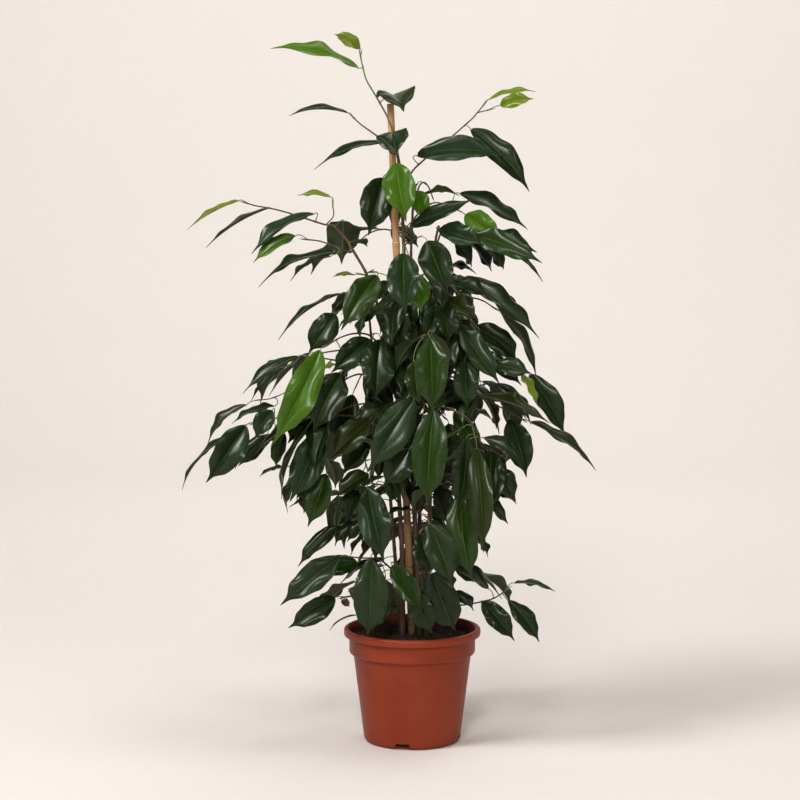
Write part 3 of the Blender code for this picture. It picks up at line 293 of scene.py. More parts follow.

# Where a finish changes, in metres: the pot's mouth, darkened inside by painted shade and soil stain, by
# radius and by height, its dust at the foot and at the rim, the damp feet of the bark and the cane, and the
# height that the cane browns down from.
MOUTH_SHADE_RADII = (0.0872, 0.0864)
MOUTH_SHADE_HEIGHTS = (0.134, 0.137)
FOOT_DUST = (0.030, 0.0)
RIM_DUST = (0.146, 0.158)
BARK_DAMP = (0.165, 0.142)
CANE_DAMP = (0.160, 0.140)
CANE_BROWN = (0.52, 0.24)

# The rooted stems: thickness at the soil and at the top, then the route as (across, up, out).
STEMS = {
    "leader": (3.8, 2.0, [(11, 84, 3), (10.5, 142, 3), (4, 300, 3), (-6, 500, 4), (-12, 690, 6),
                          (-16, 780, 9), (-22, 820, 12), (-27, 843, 13)]),
    "left": (3.9, 1.7, [(-13, 84, 6), (-13, 142, 7), (-13.5, 220, 8), (-16, 300, 9), (-26, 450, 12),
                        (-38, 560, 12), (-48, 608, 10), (-62, 648, 7), (-77, 675, 4), (-91, 698, 1),
                        (-104, 712, 0)]),
    "right": (3.6, 1.6, [(19, 84, 8), (20, 142, 9), (24, 300, 14), (24, 450, 16), (25, 560, 14),
                         (30, 640, 12), (31, 690, 10), (36, 716, 8)]),
    "back": (3.3, 1.5, [(4, 84, -16), (5, 142, -16), (10, 300, -22), (8, 450, -28), (2, 560, -32),
                        (-2, 650, -32), (0, 730, -30), (4, 770, -28)]),
    "low": (3.1, 1.5, [(-15, 84, -14), (-16, 142, -14), (-24, 260, -16), (-36, 400, -22), (-52, 520, -28),
                       (-60, 600, -32)]),
}

# The leafy branches: the stem and the height that each grows from, its twigs, and its leaves. The first
# twig starts at the stem and each other one forks from it. A leaf is where its blade starts and its tip
# ends, its full width, its roll and its tone. A roll of 0 turns its upper side to the front, 90 up and
# 180 away.
BRANCHES = {
    "top_shoot": ("leader", None, [[(-35, 865, 12), (-46, 885, 13), (-55, 900, 13), (-63, 914, 12),
                                   (-68, 933, 9), (-71, 948, 8)]], [
        ((-71, 955, 8), (-106, 975, 0), 21, 25, FRESH),
        ((-73, 929, 12), (-191, 960, 34), 34, 64, BRIGHT),
        ((-30, 891, -14), (-12, 873, 58), 56, 40, OLIVE),
    ]),
    "crown_left": ("leader", 815, [[(-42, 832, 20), (-56, 843, 14), (-70, 853, 8), (-82, 864, 4)]], [
        ((-88, 869, 2), (-168, 866, 8), 27, 82, SHEEN_GREY),
        ((-37, 830, 30), (-135, 795, 52), 31, 70, DARK),
        ((-27, 842, 16), (-21, 811, 60), 46, 14, SHEEN_GREY),
    ]),
    "crown_front": ("leader", 758, [[(-16, 775, 26), (-20, 792, 44)]], [
        ((-22, 801, 52), (-9, 721, 78), 45, 5, BRIGHT),
        ((-40, 781, 34), (-60, 702, 58), 49, -6, DARK),
        ((5, 763, 30), (16, 722, 48), 28, 10, BRIGHT),
    ]),
    "crown_right": ("leader", 772, [[(0, 790, 8), (20, 809, 0), (38, 824, -8), (55, 838, -12), (80, 860, -14),
                                     (88, 869, -14), (98, 881, -14)], [(88, 869, -14), (105, 873, -8)]], [
        ((6, 811, 26), (124, 812, 34), 38, 24, SHEEN_GREY),
        ((79, 847, -6), (161, 763, 8), 38, 30, DARK),
        ((104, 887, -14), (167, 899, -26), 16, 66, FRESH),
        ((119, 879, -4), (165, 888, 8), 21, 20, FRESH),
    ]),
    "left_arm": ("left", None, [[(-118, 717, -4), (-132, 721, -8), (-150, 727, -12), (-172, 734, -14),
                                (-192, 739, -14), (-214, 743, -12), (-228, 747, -10)],
                               [(-118, 717, -4), (-108, 729, -10), (-109, 745, -14)]], [
        ((-237, 750, -8), (-309, 710, 6), 18, 70, FRESH),
        ((-196, 740, -4), (-283, 685, 22), 25, 84, OLIVE),
        ((-134, 732, 10), (-221, 678, 30), 33, 62, SHEEN_GREY),
        ((-112, 755, -16), (-157, 757, -24), 16, 64, FRESH),
        ((-94, 722, 14), (-97, 664, -44), 50, 180, SHEEN_GREY),
    ]),
    "left_shelf": ("left", 682, [[(-97, 684, 14), (-112, 690, 18), (-128, 695, 18), (-146, 697, 16)],
                                 [(-97, 684, 14), (-104, 678, -6)]], [
        ((-160, 702, 18), (-218, 665, 30), 27, 46, BRIGHT),
        ((-103, 678, 34), (-213, 636, 60), 34, 70, DARK),
        ((-112, 674, -22), (-168, 642, -40), 30, 98, DARK),
        ((-84, 694, -10), (-61, 688, -38), 24, 100, OLIVE),
    ]),
    "left_face": ("left", 632, [[(-64, 648, 30), (-56, 654, 48)], [(-64, 648, 30), (-72, 650, 34)]], [
        ((-48, 648, 62), (-98, 572, 100), 41, 0, MID),
        ((-80, 649, 36), (-109, 646, 44), 13, 70, FRESH),
        ((-34, 640, 36), (-53, 610, 42), 20, 20, DARK),
    ]),
    "upper_face": ("leader", 676, [[(-10, 690, 40), (-12, 690, 66)], [(-10, 690, 40), (8, 700, 60)]], [
        ((-12, 678, 76), (-9, 593, 108), 46, 2, SHEEN_GREY),
        ((2, 650, 52), (13, 596, 74), 39, 5, BRIGHT),
        ((20, 695, 76), (49, 620, 108), 46, 0, DARK),
    ]),
    "dark_heart": ("back", 596, [[(0, 604, -10), (3, 611, 16), (-10, 614, 32), (-25, 612, 46)],
                                 [(-10, 614, 32), (-9, 602, 42)]], [
        ((-25, 606, 56), (-15, 536, 72), 44, 0, DARK),
        ((-30, 606, 44), (-74, 579, 60), 30, 40, OLIVE),
        ((-8, 590, 50), (6, 520, 66), 38, 10, DARK),
    ]),
    "cane_peek": ("back", 700, [[(-4, 712, -52), (-14, 718, -60)]], [
        ((-28, 714, -58), (8, 686, -44), 30, 20, MID),
    ]),
    "right_crest": ("leader", 705, [[(0, 722, 14), (14, 738, 14), (30, 747, 10), (50, 743, 8),
                                     (64, 736, 8)]], [
        ((-2, 714, 44), (84, 752, 62), 27, 45, DARK),
        ((14, 757, -8), (64, 758, -22), 27, 105, OLIVE),
        ((64, 760, 2), (158, 711, 14), 35, 50, DARK),
        ((72, 731, 22), (122, 694, 40), 37, 12, BRIGHT),
    ]),
    "right_arm": ("right", 694, [[(42, 711, 26), (58, 712, 32), (76, 708, 36), (95, 699, 36)],
                                 [(42, 711, 26), (60, 700, -6), (84, 694, -20), (98, 690, -24)]], [
        ((80, 703, 58), (178, 665, 84), 35, 22, MID),
        ((98, 704, 12), (171, 681, 16), 34, 35, DARK),
        ((108, 688, 28), (180, 641, 44), 30, 62, DARK),
        ((36, 711, 48), (98, 690, 70), 34, 28, SHEEN_GREY),
        ((44, 716, 2), (80, 688, 4), 32, 10, DARK),
        ((58, 692, -14), (82, 659, -24), 28, 40, DARK),
        ((78, 694, -30), (109, 653, -44), 30, 45, DARK),
        ((100, 690, -26), (126, 656, -36), 28, 50, DARK),
    ]),
    "right_sweep": ("right", 628, [[(44, 640, 26), (58, 646, 30)], [(44, 640, 26), (44, 622, 44)]], [
        ((70, 646, 28), (175, 562, 44), 37, 42, DARK),
        ((54, 640, 44), (104, 621, 56), 30, 35, DARK),
        ((48, 614, 52), (90, 588, 66), 34, 10, OLIVE),
        ((50, 660, 2), (88, 651, -10), 26, 60, DARK),
        ((32, 606, 66), (18, 555, 88), 34, 20, SHEEN_GREY),
        ((40, 606, 56), (50, 555, 76), 36, 10, DARK),
    ]),
    "right_spur": ("right", 588, [[(60, 612, -10), (80, 617, -18), (97, 613, -20), (112, 603, -20)],
                                  [(60, 612, -10), (74, 592, -20)]], [
        ((122, 596, -20), (171, 508, -16), 27, 56, OLIVE),
        ((86, 578, -26), (146, 528, -22), 38, 25, DARK),
    ]),
    "right_shoulder": ("right", 548, [[(46, 566, 44), (60, 580, 60)],
                                      [(46, 566, 44), (84, 544, 56), (112, 535, 60), (135, 526, 58),
                                       (146, 518, 56)]], [
        ((64, 577, 66), (121, 498, 92), 35, 20, SHEEN_GREY),
        ((72, 530, 66), (76, 462, 84), 36, 5, SHEEN_GREY),
        ((113, 526, 68), (164, 513, 80), 30, 32, SHEEN_GREY),
        ((149, 514, 62), (173, 468, 78), 19, 52, FRESH),
        ((161, 512, 30), (211, 425, 40), 37, 18, DARK),
        ((91, 541, 45), (151, 496, 50), 27, 30, DARK),
        ((56, 566, 38), (79, 497, 50), 34, 8, DARK),
    ]),
    "right_long": ("right", 486, [[(50, 489, 30), (76, 488, 40), (92, 483, 46), (115, 470, 50),
                                   (140, 456, 52), (152, 449, 52)],
                                  [(50, 489, 30), (88, 496, 26), (104, 499, 24)]], [
        ((112, 499, 24), (165, 443, 34), 30, 55, OLIVE),
        ((94, 482, 62), (190, 444, 86), 34, 64, OLIVE),
        ((162, 446, 54), (256, 381, 64), 29, 62, OLIVE),
        ((134, 450, 36), (158, 368, 52), 38, 5, DARK),
        ((80, 460, 12), (112, 447, 2), 22, 78, DARK),
        ((102, 476, 22), (116, 436, 24), 24, 60, OLIVE),
        ((86, 482, 30), (38, 460, 22), 30, 40, OLIVE),
        ((58, 462, 42), (96, 398, 50), 30, 12, MID),
    ]),
    "right_pendant": ("leader", 446, [[(30, 466, 90), (58, 461, 116), (74, 453, 122), (81, 445, 124),
                                       (86, 426, 126)],
                                      [(58, 461, 116), (84, 440, 96), (96, 412, 78), (104, 388, 70)]], [
        ((75, 424, 122), (62, 318, 138), 38, 5, DARK),
        ((89, 410, 132), (98, 262, 146), 35, -8, OLIVE),
        ((98, 424, 84), (150, 391, 92), 27, 46, DARK),
        ((112, 394, 74), (131, 364, 76), 18, 72, DARK),
        ((108, 384, 62), (144, 335, 66), 34, 25, DARK),
        ((106, 358, 56), (145, 331, 58), 26, 52, DARK),
    ]),
    "heart": ("leader", 538, [[(8, 556, 70), (18, 566, 120), (22, 566, 140)]], [
        ((24, 562, 150), (27, 457, 168), 46, -3, MID),
        ((2, 530, 116), (9, 470, 128), 31, 10, MID),
    ]),
    "heart_low": ("leader", 452, [[(12, 470, 80), (24, 471, 130), (28, 468, 146)],
                                  [(12, 470, 80), (4, 484, 116), (3, 485, 130)]], [
        ((29, 463, 154), (21, 325, 172), 48, 0, MID),
        ((2, 478, 140), (-62, 375, 172), 47, -5, SHEEN_GREY),
        ((-4, 408, 112), (-41, 356, 124), 38, 0, DARK),
    ]),
    "left_reach": ("left", 552, [[(-60, 566, 34), (-80, 568, 60), (-100, 562, 86), (-118, 551, 108)],
                                 [(-60, 566, 34), (-52, 568, 60)]], [
        ((-126, 546, 118), (-194, 412, 150), 45, -12, BRIGHT),
        ((-98, 513, 78), (-137, 429, 104), 49, 0, DARK),
        ((-58, 560, 70), (-112, 514, 88), 38, 15, DARK),
        ((-44, 560, 66), (-50, 474, 96), 47, 0, DARK),
    ]),
    "left_ribbon": ("left", 600, [[(-66, 612, 26), (-84, 622, 36)], [(-66, 612, 26), (-92, 598, 50)]], [
        ((-98, 623, 36), (-185, 559, 48), 27, 82, SHEEN_GREY),
        ((-106, 595, 62), (-143, 541, 76), 38, 10, DARK),
        ((-60, 600, 60), (-72, 560, 76), 30, 60, OLIVE),
    ]),
    "left_bough": ("left", 512, [[(-70, 524, 14), (-110, 532, 20), (-146, 537, 18)],
                                 [(-110, 532, 20), (-150, 500, 6), (-190, 480, -4), (-214, 476, -8)]], [
        ((-156, 537, 16), (-234, 485, 30), 29, 62, DARK),
        ((-172, 524, 0), (-224, 476, 6), 21, 84, OLIVE),
        ((-104, 525, 44), (-124, 518, 50), 12, 60, FRESH),
        ((-228, 470, -12), (-285, 414, -8), 27, 64, OLIVE),
        ((-190, 468, 16), (-250, 445, 22), 25, 66, DARK),
    ]),
    "left_drape": ("left", 440, [[(-70, 452, 30), (-110, 455, 44), (-150, 453, 54), (-180, 452, 58),
                                  (-206, 448, 60), (-218, 444, 60)],
                                 [(-150, 453, 54), (-166, 440, 66)]], [
        ((-229, 441, 64), (-285, 361, 86), 45, -5, SHEEN_GREY),
        ((-250, 428, 34), (-321, 353, 24), 27, 82, DARK),
        ((-193, 462, 78), (-217, 423, 88), 29, 10, SHEEN_GREY),
        ((-202, 426, 50), (-246, 380, 54), 25, 58, DARK),
        ((-194, 428, 28), (-241, 384, 26), 27, 30, DARK),
        ((-176, 430, 80), (-189, 382, 88), 23, 25, MID),
        ((-140, 462, 60), (-172, 416, 70), 33, 10, DARK),
    ]),
    "left_hang": ("left", 396, [[(-60, 410, 36), (-100, 424, 64), (-118, 432, 80)],
                                [(-60, 410, 36), (-110, 396, 34), (-148, 388, 34), (-166, 385, 34)]], [
        ((-128, 431, 88), (-170, 334, 112), 45, 0, SHEEN_GREY),
        ((-177, 383, 36), (-212, 370, 38), 17, 76, OLIVE),
        ((-164, 374, 28), (-174, 319, 14), 23, 78, DARK),
        ((-156, 368, 50), (-176, 329, 54), 23, 50, DARK),
        ((-134, 366, 34), (-161, 339, 34), 27, 40, OLIVE),
        ((-140, 368, 12), (-150, 318, 8), 25, 40, DARK),
        ((-119, 374, 84), (-145, 299, 100), 35, 10, MID),
    ]),
    "left_inner": ("low", 428, [[(-50, 446, 46), (-56, 452, 66)],
                                [(-50, 446, 46), (-64, 396, 50), (-62, 380, 56)]], [
        ((-58, 450, 76), (-114, 394, 92), 39, 20, OLIVE),
        ((-34, 470, 56), (-86, 432, 66), 31, 40, OLIVE),
        ((-66, 432, 40), (-96, 372, 50), 36, 10, DARK),
        ((-60, 373, 66), (-105, 342, 78), 31, 30, OLIVE),
        ((-78, 352, 62), (-92, 306, 74), 31, 15, DARK),
        ((-22, 384, 56), (-31, 331, 66), 29, 10, MID),
    ]),
    "left_knee": ("low", 296, [[(-60, 311, 22), (-84, 309, 32), (-94, 304, 34)]], [
        ((-101, 301, 36), (-159, 243, 48), 27, 36, DARK),
        ((-78, 306, 56), (-108, 273, 66), 25, 52, DARK),
        ((-66, 308, 70), (-90, 279, 78), 23, 30, DARK),
        ((4, 322, 40), (-38, 316, 50), 20, 76, MID),
    ]),
    "mid_fill": ("back", 452, [[(20, 464, -14), (34, 462, 10), (44, 452, 34)],
                               [(34, 462, 10), (35, 453, 32), (20, 446, 38)]], [
        ((50, 444, 42), (60, 372, 54), 36, 5, DARK),
        ((34, 446, 44), (30, 374, 58), 34, 0, DARK),
        ((-2, 440, 30), (-22, 372, 44), 36, 5, DARK),
        ((8, 440, 46), (-4, 366, 62), 34, 0, MID),
    ]),
    "left_fill": ("low", 500, [[(-70, 512, -20), (-90, 506, -6), (-104, 492, 4)],
                               [(-70, 512, -20), (-78, 494, -2)]], [
        ((-108, 484, 8), (-140, 400, 22), 38, 15, DARK),
        ((-82, 484, 4), (-104, 404, 18), 36, 5, DARK),
        ((-92, 512, 8), (-146, 466, 20), 34, 30, DARK),
        ((-60, 512, 8), (-26, 455, 20), 30, 8, DARK),
    ]),
    "low_face": ("left", 338, [[(-38, 356, 70), (-54, 360, 112)]], [
        ((-62, 354, 122), (-39, 249, 146), 45, -3, SHEEN_GREY),
    ]),
    "foot_left": ("low", 236, [[(-46, 254, 40), (-70, 256, 56), (-90, 258, 66)],
                               [(-46, 254, 40), (-54, 262, 84)]], [
        ((-57, 256, 98), (-62, 144, 80), 48, -2, SHEEN_GREY),
        ((-76, 250, 50), (-124, 236, 60), 31, 20, MID),
        ((-99, 258, 74), (-184, 189, 98), 39, 12, SHEEN_GREY),
        ((-38, 222, 66), (-56, 150, 64), 35, 5, MID),
    ]),
    "foot_left_low": ("low", 186, [[(-52, 198, 26), (-84, 202, 36), (-96, 200, 40)],
                                   [(-52, 198, 26), (-66, 176, 34)]], [
        ((-107, 200, 44), (-173, 157, 60), 34, 0, DARK),
        ((-98, 197, 52), (-87, 187, 58), 11, 20, BROWN),
        ((-78, 176, 38), (-116, 155, 44), 11, 84, BROWN),
    ]),
    "foot_front": ("right", 226, [[(22, 238, 56), (24, 242, 88)], [(22, 238, 56), (4, 226, 84)],
                                  [(22, 238, 56), (-22, 248, 76)]], [
        ((27, 236, 100), (61, 150, 78), 47, 0, DARK),
        ((-28, 246, 92), (14, 181, 112), 33, 0, MID),
        ((4, 213, 96), (28, 148, 84), 35, 0, DARK),
    ]),
    "low_right_face": ("right", 296, [[(22, 310, 70), (20, 314, 118)], [(22, 310, 70), (14, 296, 84)]], [
        ((23, 305, 130), (56, 216, 148), 43, 2, SHEEN_GREY),
        ((11, 290, 90), (24, 238, 98), 37, 0, DARK),
    ]),
    "right_apron": ("right", 344, [[(46, 356, 70), (60, 357, 112)], [(46, 356, 70), (84, 344, 74)]], [
        ((67, 350, 122), (84, 221, 142), 43, 0, MID),
        ((96, 338, 78), (133, 304, 82), 25, 50, DARK),
        ((84, 286, 84), (105, 257, 86), 23, 55, DARK),
        ((36, 358, 58), (50, 300, 64), 30, 6, DARK),
    ]),
    "foot_right": ("right", 178, [[(46, 188, 26), (72, 190, 34), (95, 194, 38), (110, 198, 40),
                                   (120, 203, 40), (132, 212, 40)]], [
        ((97, 195, 46), (143, 139, 60), 31, 12, DARK),
        ((133, 196, 38), (178, 137, 46), 28, 28, DARK),
        ((142, 221, 40), (199, 209, 34), 21, 70, DARK),
        ((106, 213, 42), (50, 246, 36), 33, 50, DARK),
        ((58, 208, 44), (86, 181, 52), 23, 45, DARK),
    ]),
}

# Branches at the back and sides, that the view from the front hardly shows: the stem and the height that
# each grows from, its heading (0 to the viewer's right, 90 straight back), its reach, rise and leaf count.
REAR_BRANCHES = {
    "rear_crown": ("back", 752, 70, 70, 26, 4),
    "rear_high_left": ("back", 690, 128, 120, 22, 4),
    "rear_high_right": ("back", 640, 52, 125, 12, 4),
    "rear_mid": ("back", 575, 92, 150, 10, 4),
    "rear_mid_left": ("low", 540, 150, 130, 0, 4),
    "rear_mid_right": ("back", 500, 35, 120, 4, 4),
    "rear_low": ("low", 450, 112, 140, -4, 4),
    "rear_fall_right": ("back", 400, 60, 130, -8, 4),
    "rear_fall_left": ("low", 350, 140, 110, -12, 4),
    "rear_skirt": ("back", 300, 90, 110, -6, 4),
    "rear_skirt_right": ("back", 240, 48, 90, 0, 3),
    "rear_skirt_left": ("low", 210, 128, 95, 6, 3),
    "side_left": ("left", 470, 222, 130, 8, 4),
    "side_right": ("right", 420, 330, 110, 6, 4),
}

# The plant's outline from the front, as heights with the reach to the left and right, and the gaps in it
# that the background shows through, as left, right, lowest and highest. Leaves of the rear branches and
# inner leaves keep to these.
OUTLINE = [(150, -85, 165), (180, -160, 150), (200, -184, 140), (225, -170, 150), (245, -150, 90),
           (300, -112, 105), (330, -180, 118), (360, -300, 135), (400, -286, 175), (430, -270, 215),
           (460, -236, 200), (490, -226, 180), (530, -200, 160), (560, -170, 170), (610, -140, 162),
           (640, -190, 172), (665, -215, 170), (700, -225, 150), (730, -270, 145), (752, -245, 122),
           (765, -80, 155), (800, -60, 150), (840, -60, 112), (870, -90, 95), (895, -60, 60)]
WINDOWS = [(-88, -72, 475, 515), (-100, -70, 450, 465), (-90, -60, 370, 415), (-38, -18, 320, 345),
           (-36, -22, 250, 280), (40, 50, 322, 330), (45, 58, 430, 450), (42, 55, 375, 390),
           (70, 85, 540, 548), (-122, -95, 530, 560), (-95, -60, 560, 580), (-82, -30, 655, 705),
           (60, 108, 196, 222), (92, 112, 585, 610), (125, 150, 535, 560), (92, 112, 425, 450),
           (-2, 26, 680, 708), (42, 76, 742, 754), (-66, -45, 560, 585), (8, 40, 756, 782),
           (-122, -78, 642, 676)]


def seen(place):
    """The point that is seen at (across, up) from the eye, moved out of the upright plane towards the eye."""
    across, up, out = place
    on_plane = Vector((across, 0.0, up))
    return on_plane + (EYE - on_plane) * (out / -EYE.y)


def spread(first, last, count):
    """Values from the first to the last in equal steps."""
    return [first + (last - first) * index / (count - 1) for index in range(count)]


def turns(sides):
    """The angles of the sides of a ring."""
    return [math.tau * side / sides for side in range(sides)]


def level_at(angle, radius=1.0, height=0.0):
    """A point at an angle, radius and height round the upright axis, or the level way at an angle."""
    return Vector((radius * math.cos(angle), radius * math.sin(angle), height))


def smooth_path(points, step):
    """A Catmull-Rom curve through the points, read about every step."""
    ends = [points[0] * 2 - points[1]] + list(points) + [points[-1] * 2 - points[-2]]
    path = []
    for before, start, end, after in zip(ends, ends[1:], ends[2:], ends[3:]):
        count = max(1, round((end - start).length / step))
        for index in range(count):
            t = index / count
            path.append(0.5 * (2 * start + (end - before) * t
                               + (2 * before - 5 * start + 4 * end - after) * t * t
                               + (3 * start - before - 3 * end + after) * t * t * t))
    return path + [points[-1]]


def walked(path):
    """How far along a path each of its points is."""
    distances = [0.0]
    for start, end in zip(path, path[1:]):
        distances.append(distances[-1] + (end - start).length)
    return distances


def ring_faces(first, second, sides):
    """The four-sided faces between two rings of points."""
    return [(first + side, first + (side + 1) % sides, second + (side + 1) % sides, second + side)
            for side in range(sides)]


def tube_faces(rings, sides):
    """The faces round a bar and over its two ends."""
    faces = []
    for ring in range(rings - 1):
        faces += ring_faces(ring * sides, (ring + 1) * sides, sides)
    return faces + [tuple(reversed(range(sides))), tuple(range((rings - 1) * sides, rings * sides))]


def tube(path, radii, sides):
    """A closed round bar along a path, as points and faces. Its rings don't twist from one to the next."""
    tangents = [(after - before).normalized() for before, after in
                zip([path[0]] + path[:-1], path[1:] + [path[-1]])]
    reference = tangents[0].orthogonal().normalized()
    points = []
    for centre, tangent, radius in zip(path, tangents, radii):
        reference = (reference - tangent * reference.dot(tangent)).normalized()
        other = tangent.cross(reference)
        points += [centre + (reference * math.cos(angle) + other * math.sin(angle)) * radius
                   for angle in turns(sides)]
    return points, tube_faces(len(path), sides)


def blade_outline(along):
    """The half width of a leaf along it, as a share of the greatest: an oval with a long drip tip."""
    oval = math.sin(math.pi * along ** 0.82) ** 0.85
    fall = min(max((along - 0.72) / 0.18, 0.0), 1.0)
    return oval * (1.0 - 0.65 * fall * fall * (3.0 - 2.0 * fall))


class Leaf:
    """One leaf: where its blade starts and ends, its width and upper side, and how it bends."""

    def __init__(self, base, tip, width, normal, tone, seed):
        draw = random.Random(SEED * 1000 + seed)
        self.base = base
        self.tip = tip
        self.width = width
        self.tone = tone
        self.length = (tip - base).length
        self.axis = (tip - base).normalized()
        self.normal = (normal - self.axis * normal.dot(self.axis)).normalized()
        self.side = self.axis.cross(self.normal)
        self.arch = draw.uniform(*ARCH)
        self.fold = math.radians(draw.uniform(*FOLD))
        self.wave = draw.uniform(*WAVE) * width
        self.wave_count = draw.uniform(*WAVE_COUNT)
        self.phase = draw.uniform(0, math.tau)
        self.sway = draw.uniform(*SWAY)
        self.twist = math.radians(draw.uniform(*TWIST))
        self.hook = draw.uniform(*HOOK)

    def frame(self, along):
        """The centre of the midrib, and the way across and up, at a place along the leaf."""
        bend = max(along - HOOK_START, 0.0) / (1 - HOOK_START)
        rise = (self.arch * 4 * along * (1 - along) - self.hook * bend * bend) * self.length
        slope = self.arch * 4 * (1 - 2 * along) - 2 * self.hook * bend / (1 - HOOK_START)
        shift = self.sway * math.sin(math.pi * along) * self.length
        centre = self.base + self.axis * (along * self.length) + self.normal * rise + self.side * shift
        above = (self.normal - self.axis * slope).normalized()
        turn = self.twist * (along - 0.35)
        side = self.side * math.cos(turn) + above * math.sin(turn)
        top = above * math.cos(turn) - self.side * math.sin(turn)
        return centre, side, top

    def point(self, along, across, above=0.0, grow=0.0):
        """A point of the blade: across it from -1 to 1, and above or below its middle layer."""
        centre, side, top = self.frame(along)
        half = self.width / 2 * blade_outline(along) + grow
        other_edge = 1.3 if across < 0 else 0.0
        ripple = self.wave * math.sin(math.tau * self.wave_count * along + self.phase + other_edge)
        rise = half * abs(across) * math.sin(self.fold) + ripple * across * across * blade_outline(along)
        return centre + side * (half * across * math.cos(self.fold)) + top * (rise + above)


def petiole_control(leaf, root):
    """The point that a petiole bends to, back from the blade and in line with it."""
    return leaf.base - leaf.axis * (PETIOLE_BEND * (leaf.base - root).length)


def petiole_path(leaf, root):
    """The petiole from its root in the twig to the blade, which it meets in line."""
    if (leaf.base - root).length < SHORT_PETIOLE:
        return [root, leaf.base]
    return [root, root * 0.25 + petiole_control(leaf, root) * 0.5 + leaf.base * 0.25, leaf.base]


def petiole_rings(leaf, root, radius):
    """Three points round each place on the petiole, turned to match the blade where it starts."""
    path = petiole_path(leaf, root)
    _, side, above = leaf.frame(0.0)
    tangent = side.cross(above) * -1.0
    half_side = radius * math.cos(math.radians(30))
    half_rise = radius * math.sin(math.radians(30))
    rings = []
    for index in range(len(path) - 1, -1, -1):
        if index < len(path) - 1:
            heading = (path[index + 1] - path[max(index - 1, 0)]).normalized()
            turn = tangent.rotation_difference(heading)
            above = turn @ above
            side = turn @ side
            tangent = heading
        centre = path[index]
        rings = [centre - side * half_side + above * half_rise,
                 centre + side * half_side + above * half_rise,
                 centre - above * radius] + rings
    return rings


def leaf_solid(leaf, root, grow=0.0):
    """A leaf with its petiole as one closed loft. Both faces of the blade are split alike."""
    sections = SHORT_SECTIONS if leaf.length < SHORT_LEAF or leaf.base.y > BEHIND else LONG_SECTIONS
    points = petiole_rings(leaf, root, PETIOLE_RADIUS + grow)
    neck = len(points) - 3
    faces = [(0, 1, 2)]
    for ring in range(0, neck, 3):
        faces += [(ring + a, ring + 3 + a, ring + 3 + b) for a, b in ((0, 1), (1, 2), (2, 0))]
        faces += [(ring + a, ring + 3 + b, ring + b) for a, b in ((0, 1), (1, 2), (2, 0))]
    half_thick = BLADE / 2 + grow
    for along in sections:
        for across, above in ((-1, 1), (0, 1), (1, 1), (1, -1), (0, -1), (-1, -1)):
            points.append(leaf.point(along, across, above * half_thick, grow))
    points.append(leaf.point(1.0, 0.0, 0.0))
    left, right, keel = neck, neck + 1, neck + 2
    first = neck + 3
    faces += [(left, first + 1, right), (left, first, first + 1), (right, first + 1, first + 2),
              (right, first + 2, first + 3), (right, first + 3, keel), (keel, first + 3, first + 4),
              (keel, first + 4, first + 5), (left, first + 5, first), (left, keel, first + 5)]
    for section in range(len(sections) - 1):
        start = first + 6 * section
        for a, b, flip in ((0, 1, 0), (1, 2, 1), (2, 3, 0), (3, 4, 0), (4, 5, 1), (5, 0, 0)):
            low_a, low_b, high_a, high_b = start + a, start + b, start + 6 + a, start + 6 + b
            if flip:
                faces += [(low_a, high_a, low_b), (low_b, high_a, high_b)]
            else:
                faces += [(low_a, high_a, high_b), (low_a, high_b, low_b)]
    start = first + 6 * (len(sections) - 1)
    apex = len(points) - 1
    faces += [(start + a, apex, start + (a + 1) % 6) for a in range(6)]
    return points, faces


class Obstacle:
    """A placed solid, kept for the clearance test with its corners."""

    def __init__(self, solid, owner, kind):
        points, faces = solid
        self.owner = owner
        self.kind = kind
        self.low = Vector([min(point[axis] for point in points) for axis in range(3)])
        self.high = Vector([max(point[axis] for point in points) for axis in range(3)])
        self.tree = BVHTree.FromPolygons(points, faces)

    def meets(self, other):
        """Whether two solids cut through each other."""
        if any(self.low[axis] > other.high[axis] or other.low[axis] > self.high[axis] for axis in range(3)):
            return False
        return bool(self.tree.overlap(other.tree))


def nearest_share(start, end, point):
    """The share of the way from a start to an end that comes nearest to a point."""
    run = end - start
    return min(max((point - start).dot(run) / run.length_squared, 0.0), 1.0)


def nearest_on(paths, point, back=0.0):
    """The place on some paths nearest to a point, stepped back from there, and never at a path's very end."""
    best = None
    for path in paths:
        distances = walked(path)
        for start, end, distance in zip(path, path[1:], distances):
            share = nearest_share(start, end, point)
            gap = (start + (end - start) * share - point).length
            if best is None or gap < best[0]:
                best = gap, path, min(distance + share * (end - start).length, distances[-1] - ROOT_DEPTH)
    return at_distance(best[1], max(best[2] - back, ROOT_DEPTH))


def nearest_point(path, point):
    """The nearest place to a point on a stem's middle line."""
    places = [start + (end - start) * nearest_share(start, end, point) for start, end in zip(path, path[1:])]
    return min(places, key=lambda place: (place - point).length)


def at_distance(path, distance):
    """The place at a distance along a path."""
    for start, end in zip(path, path[1:]):
        length = (end - start).length
        if distance <= length:
            return start.lerp(end, distance / length)
        distance -= length
    return path[-1]


def along_path(path, share):
    """The place at a share of a path's points."""
    position = share * (len(path) - 1)
    index = min(int(position), len(path) - 2)
    return path[index].lerp(path[index + 1], position - index)


def along_stem(path, height):
    """The centre and direction of a stem at a height, or at its end for None, and the share of its length."""
    if height is None:
        return path[-1], (path[-1] - path[-2]).normalized(), 1.0
    for index, (start, end) in enumerate(zip(path, path[1:])):
        if start.z <= height <= end.z:
            share = (height - start.z) / (end.z - start.z)
            return start.lerp(end, share), (end - start).normalized(), (index + share) / (len(path) - 1)
    raise ValueError(f"no stem at {height}")


def twig_radii(index):
    """A twig's radii at its root and its end. A branch's first twig is the thickest."""
    return (TWIG_RADIUS, TWIG_END_RADIUS) if index == 0 else (FORK_RADIUS, FORK_END_RADIUS)


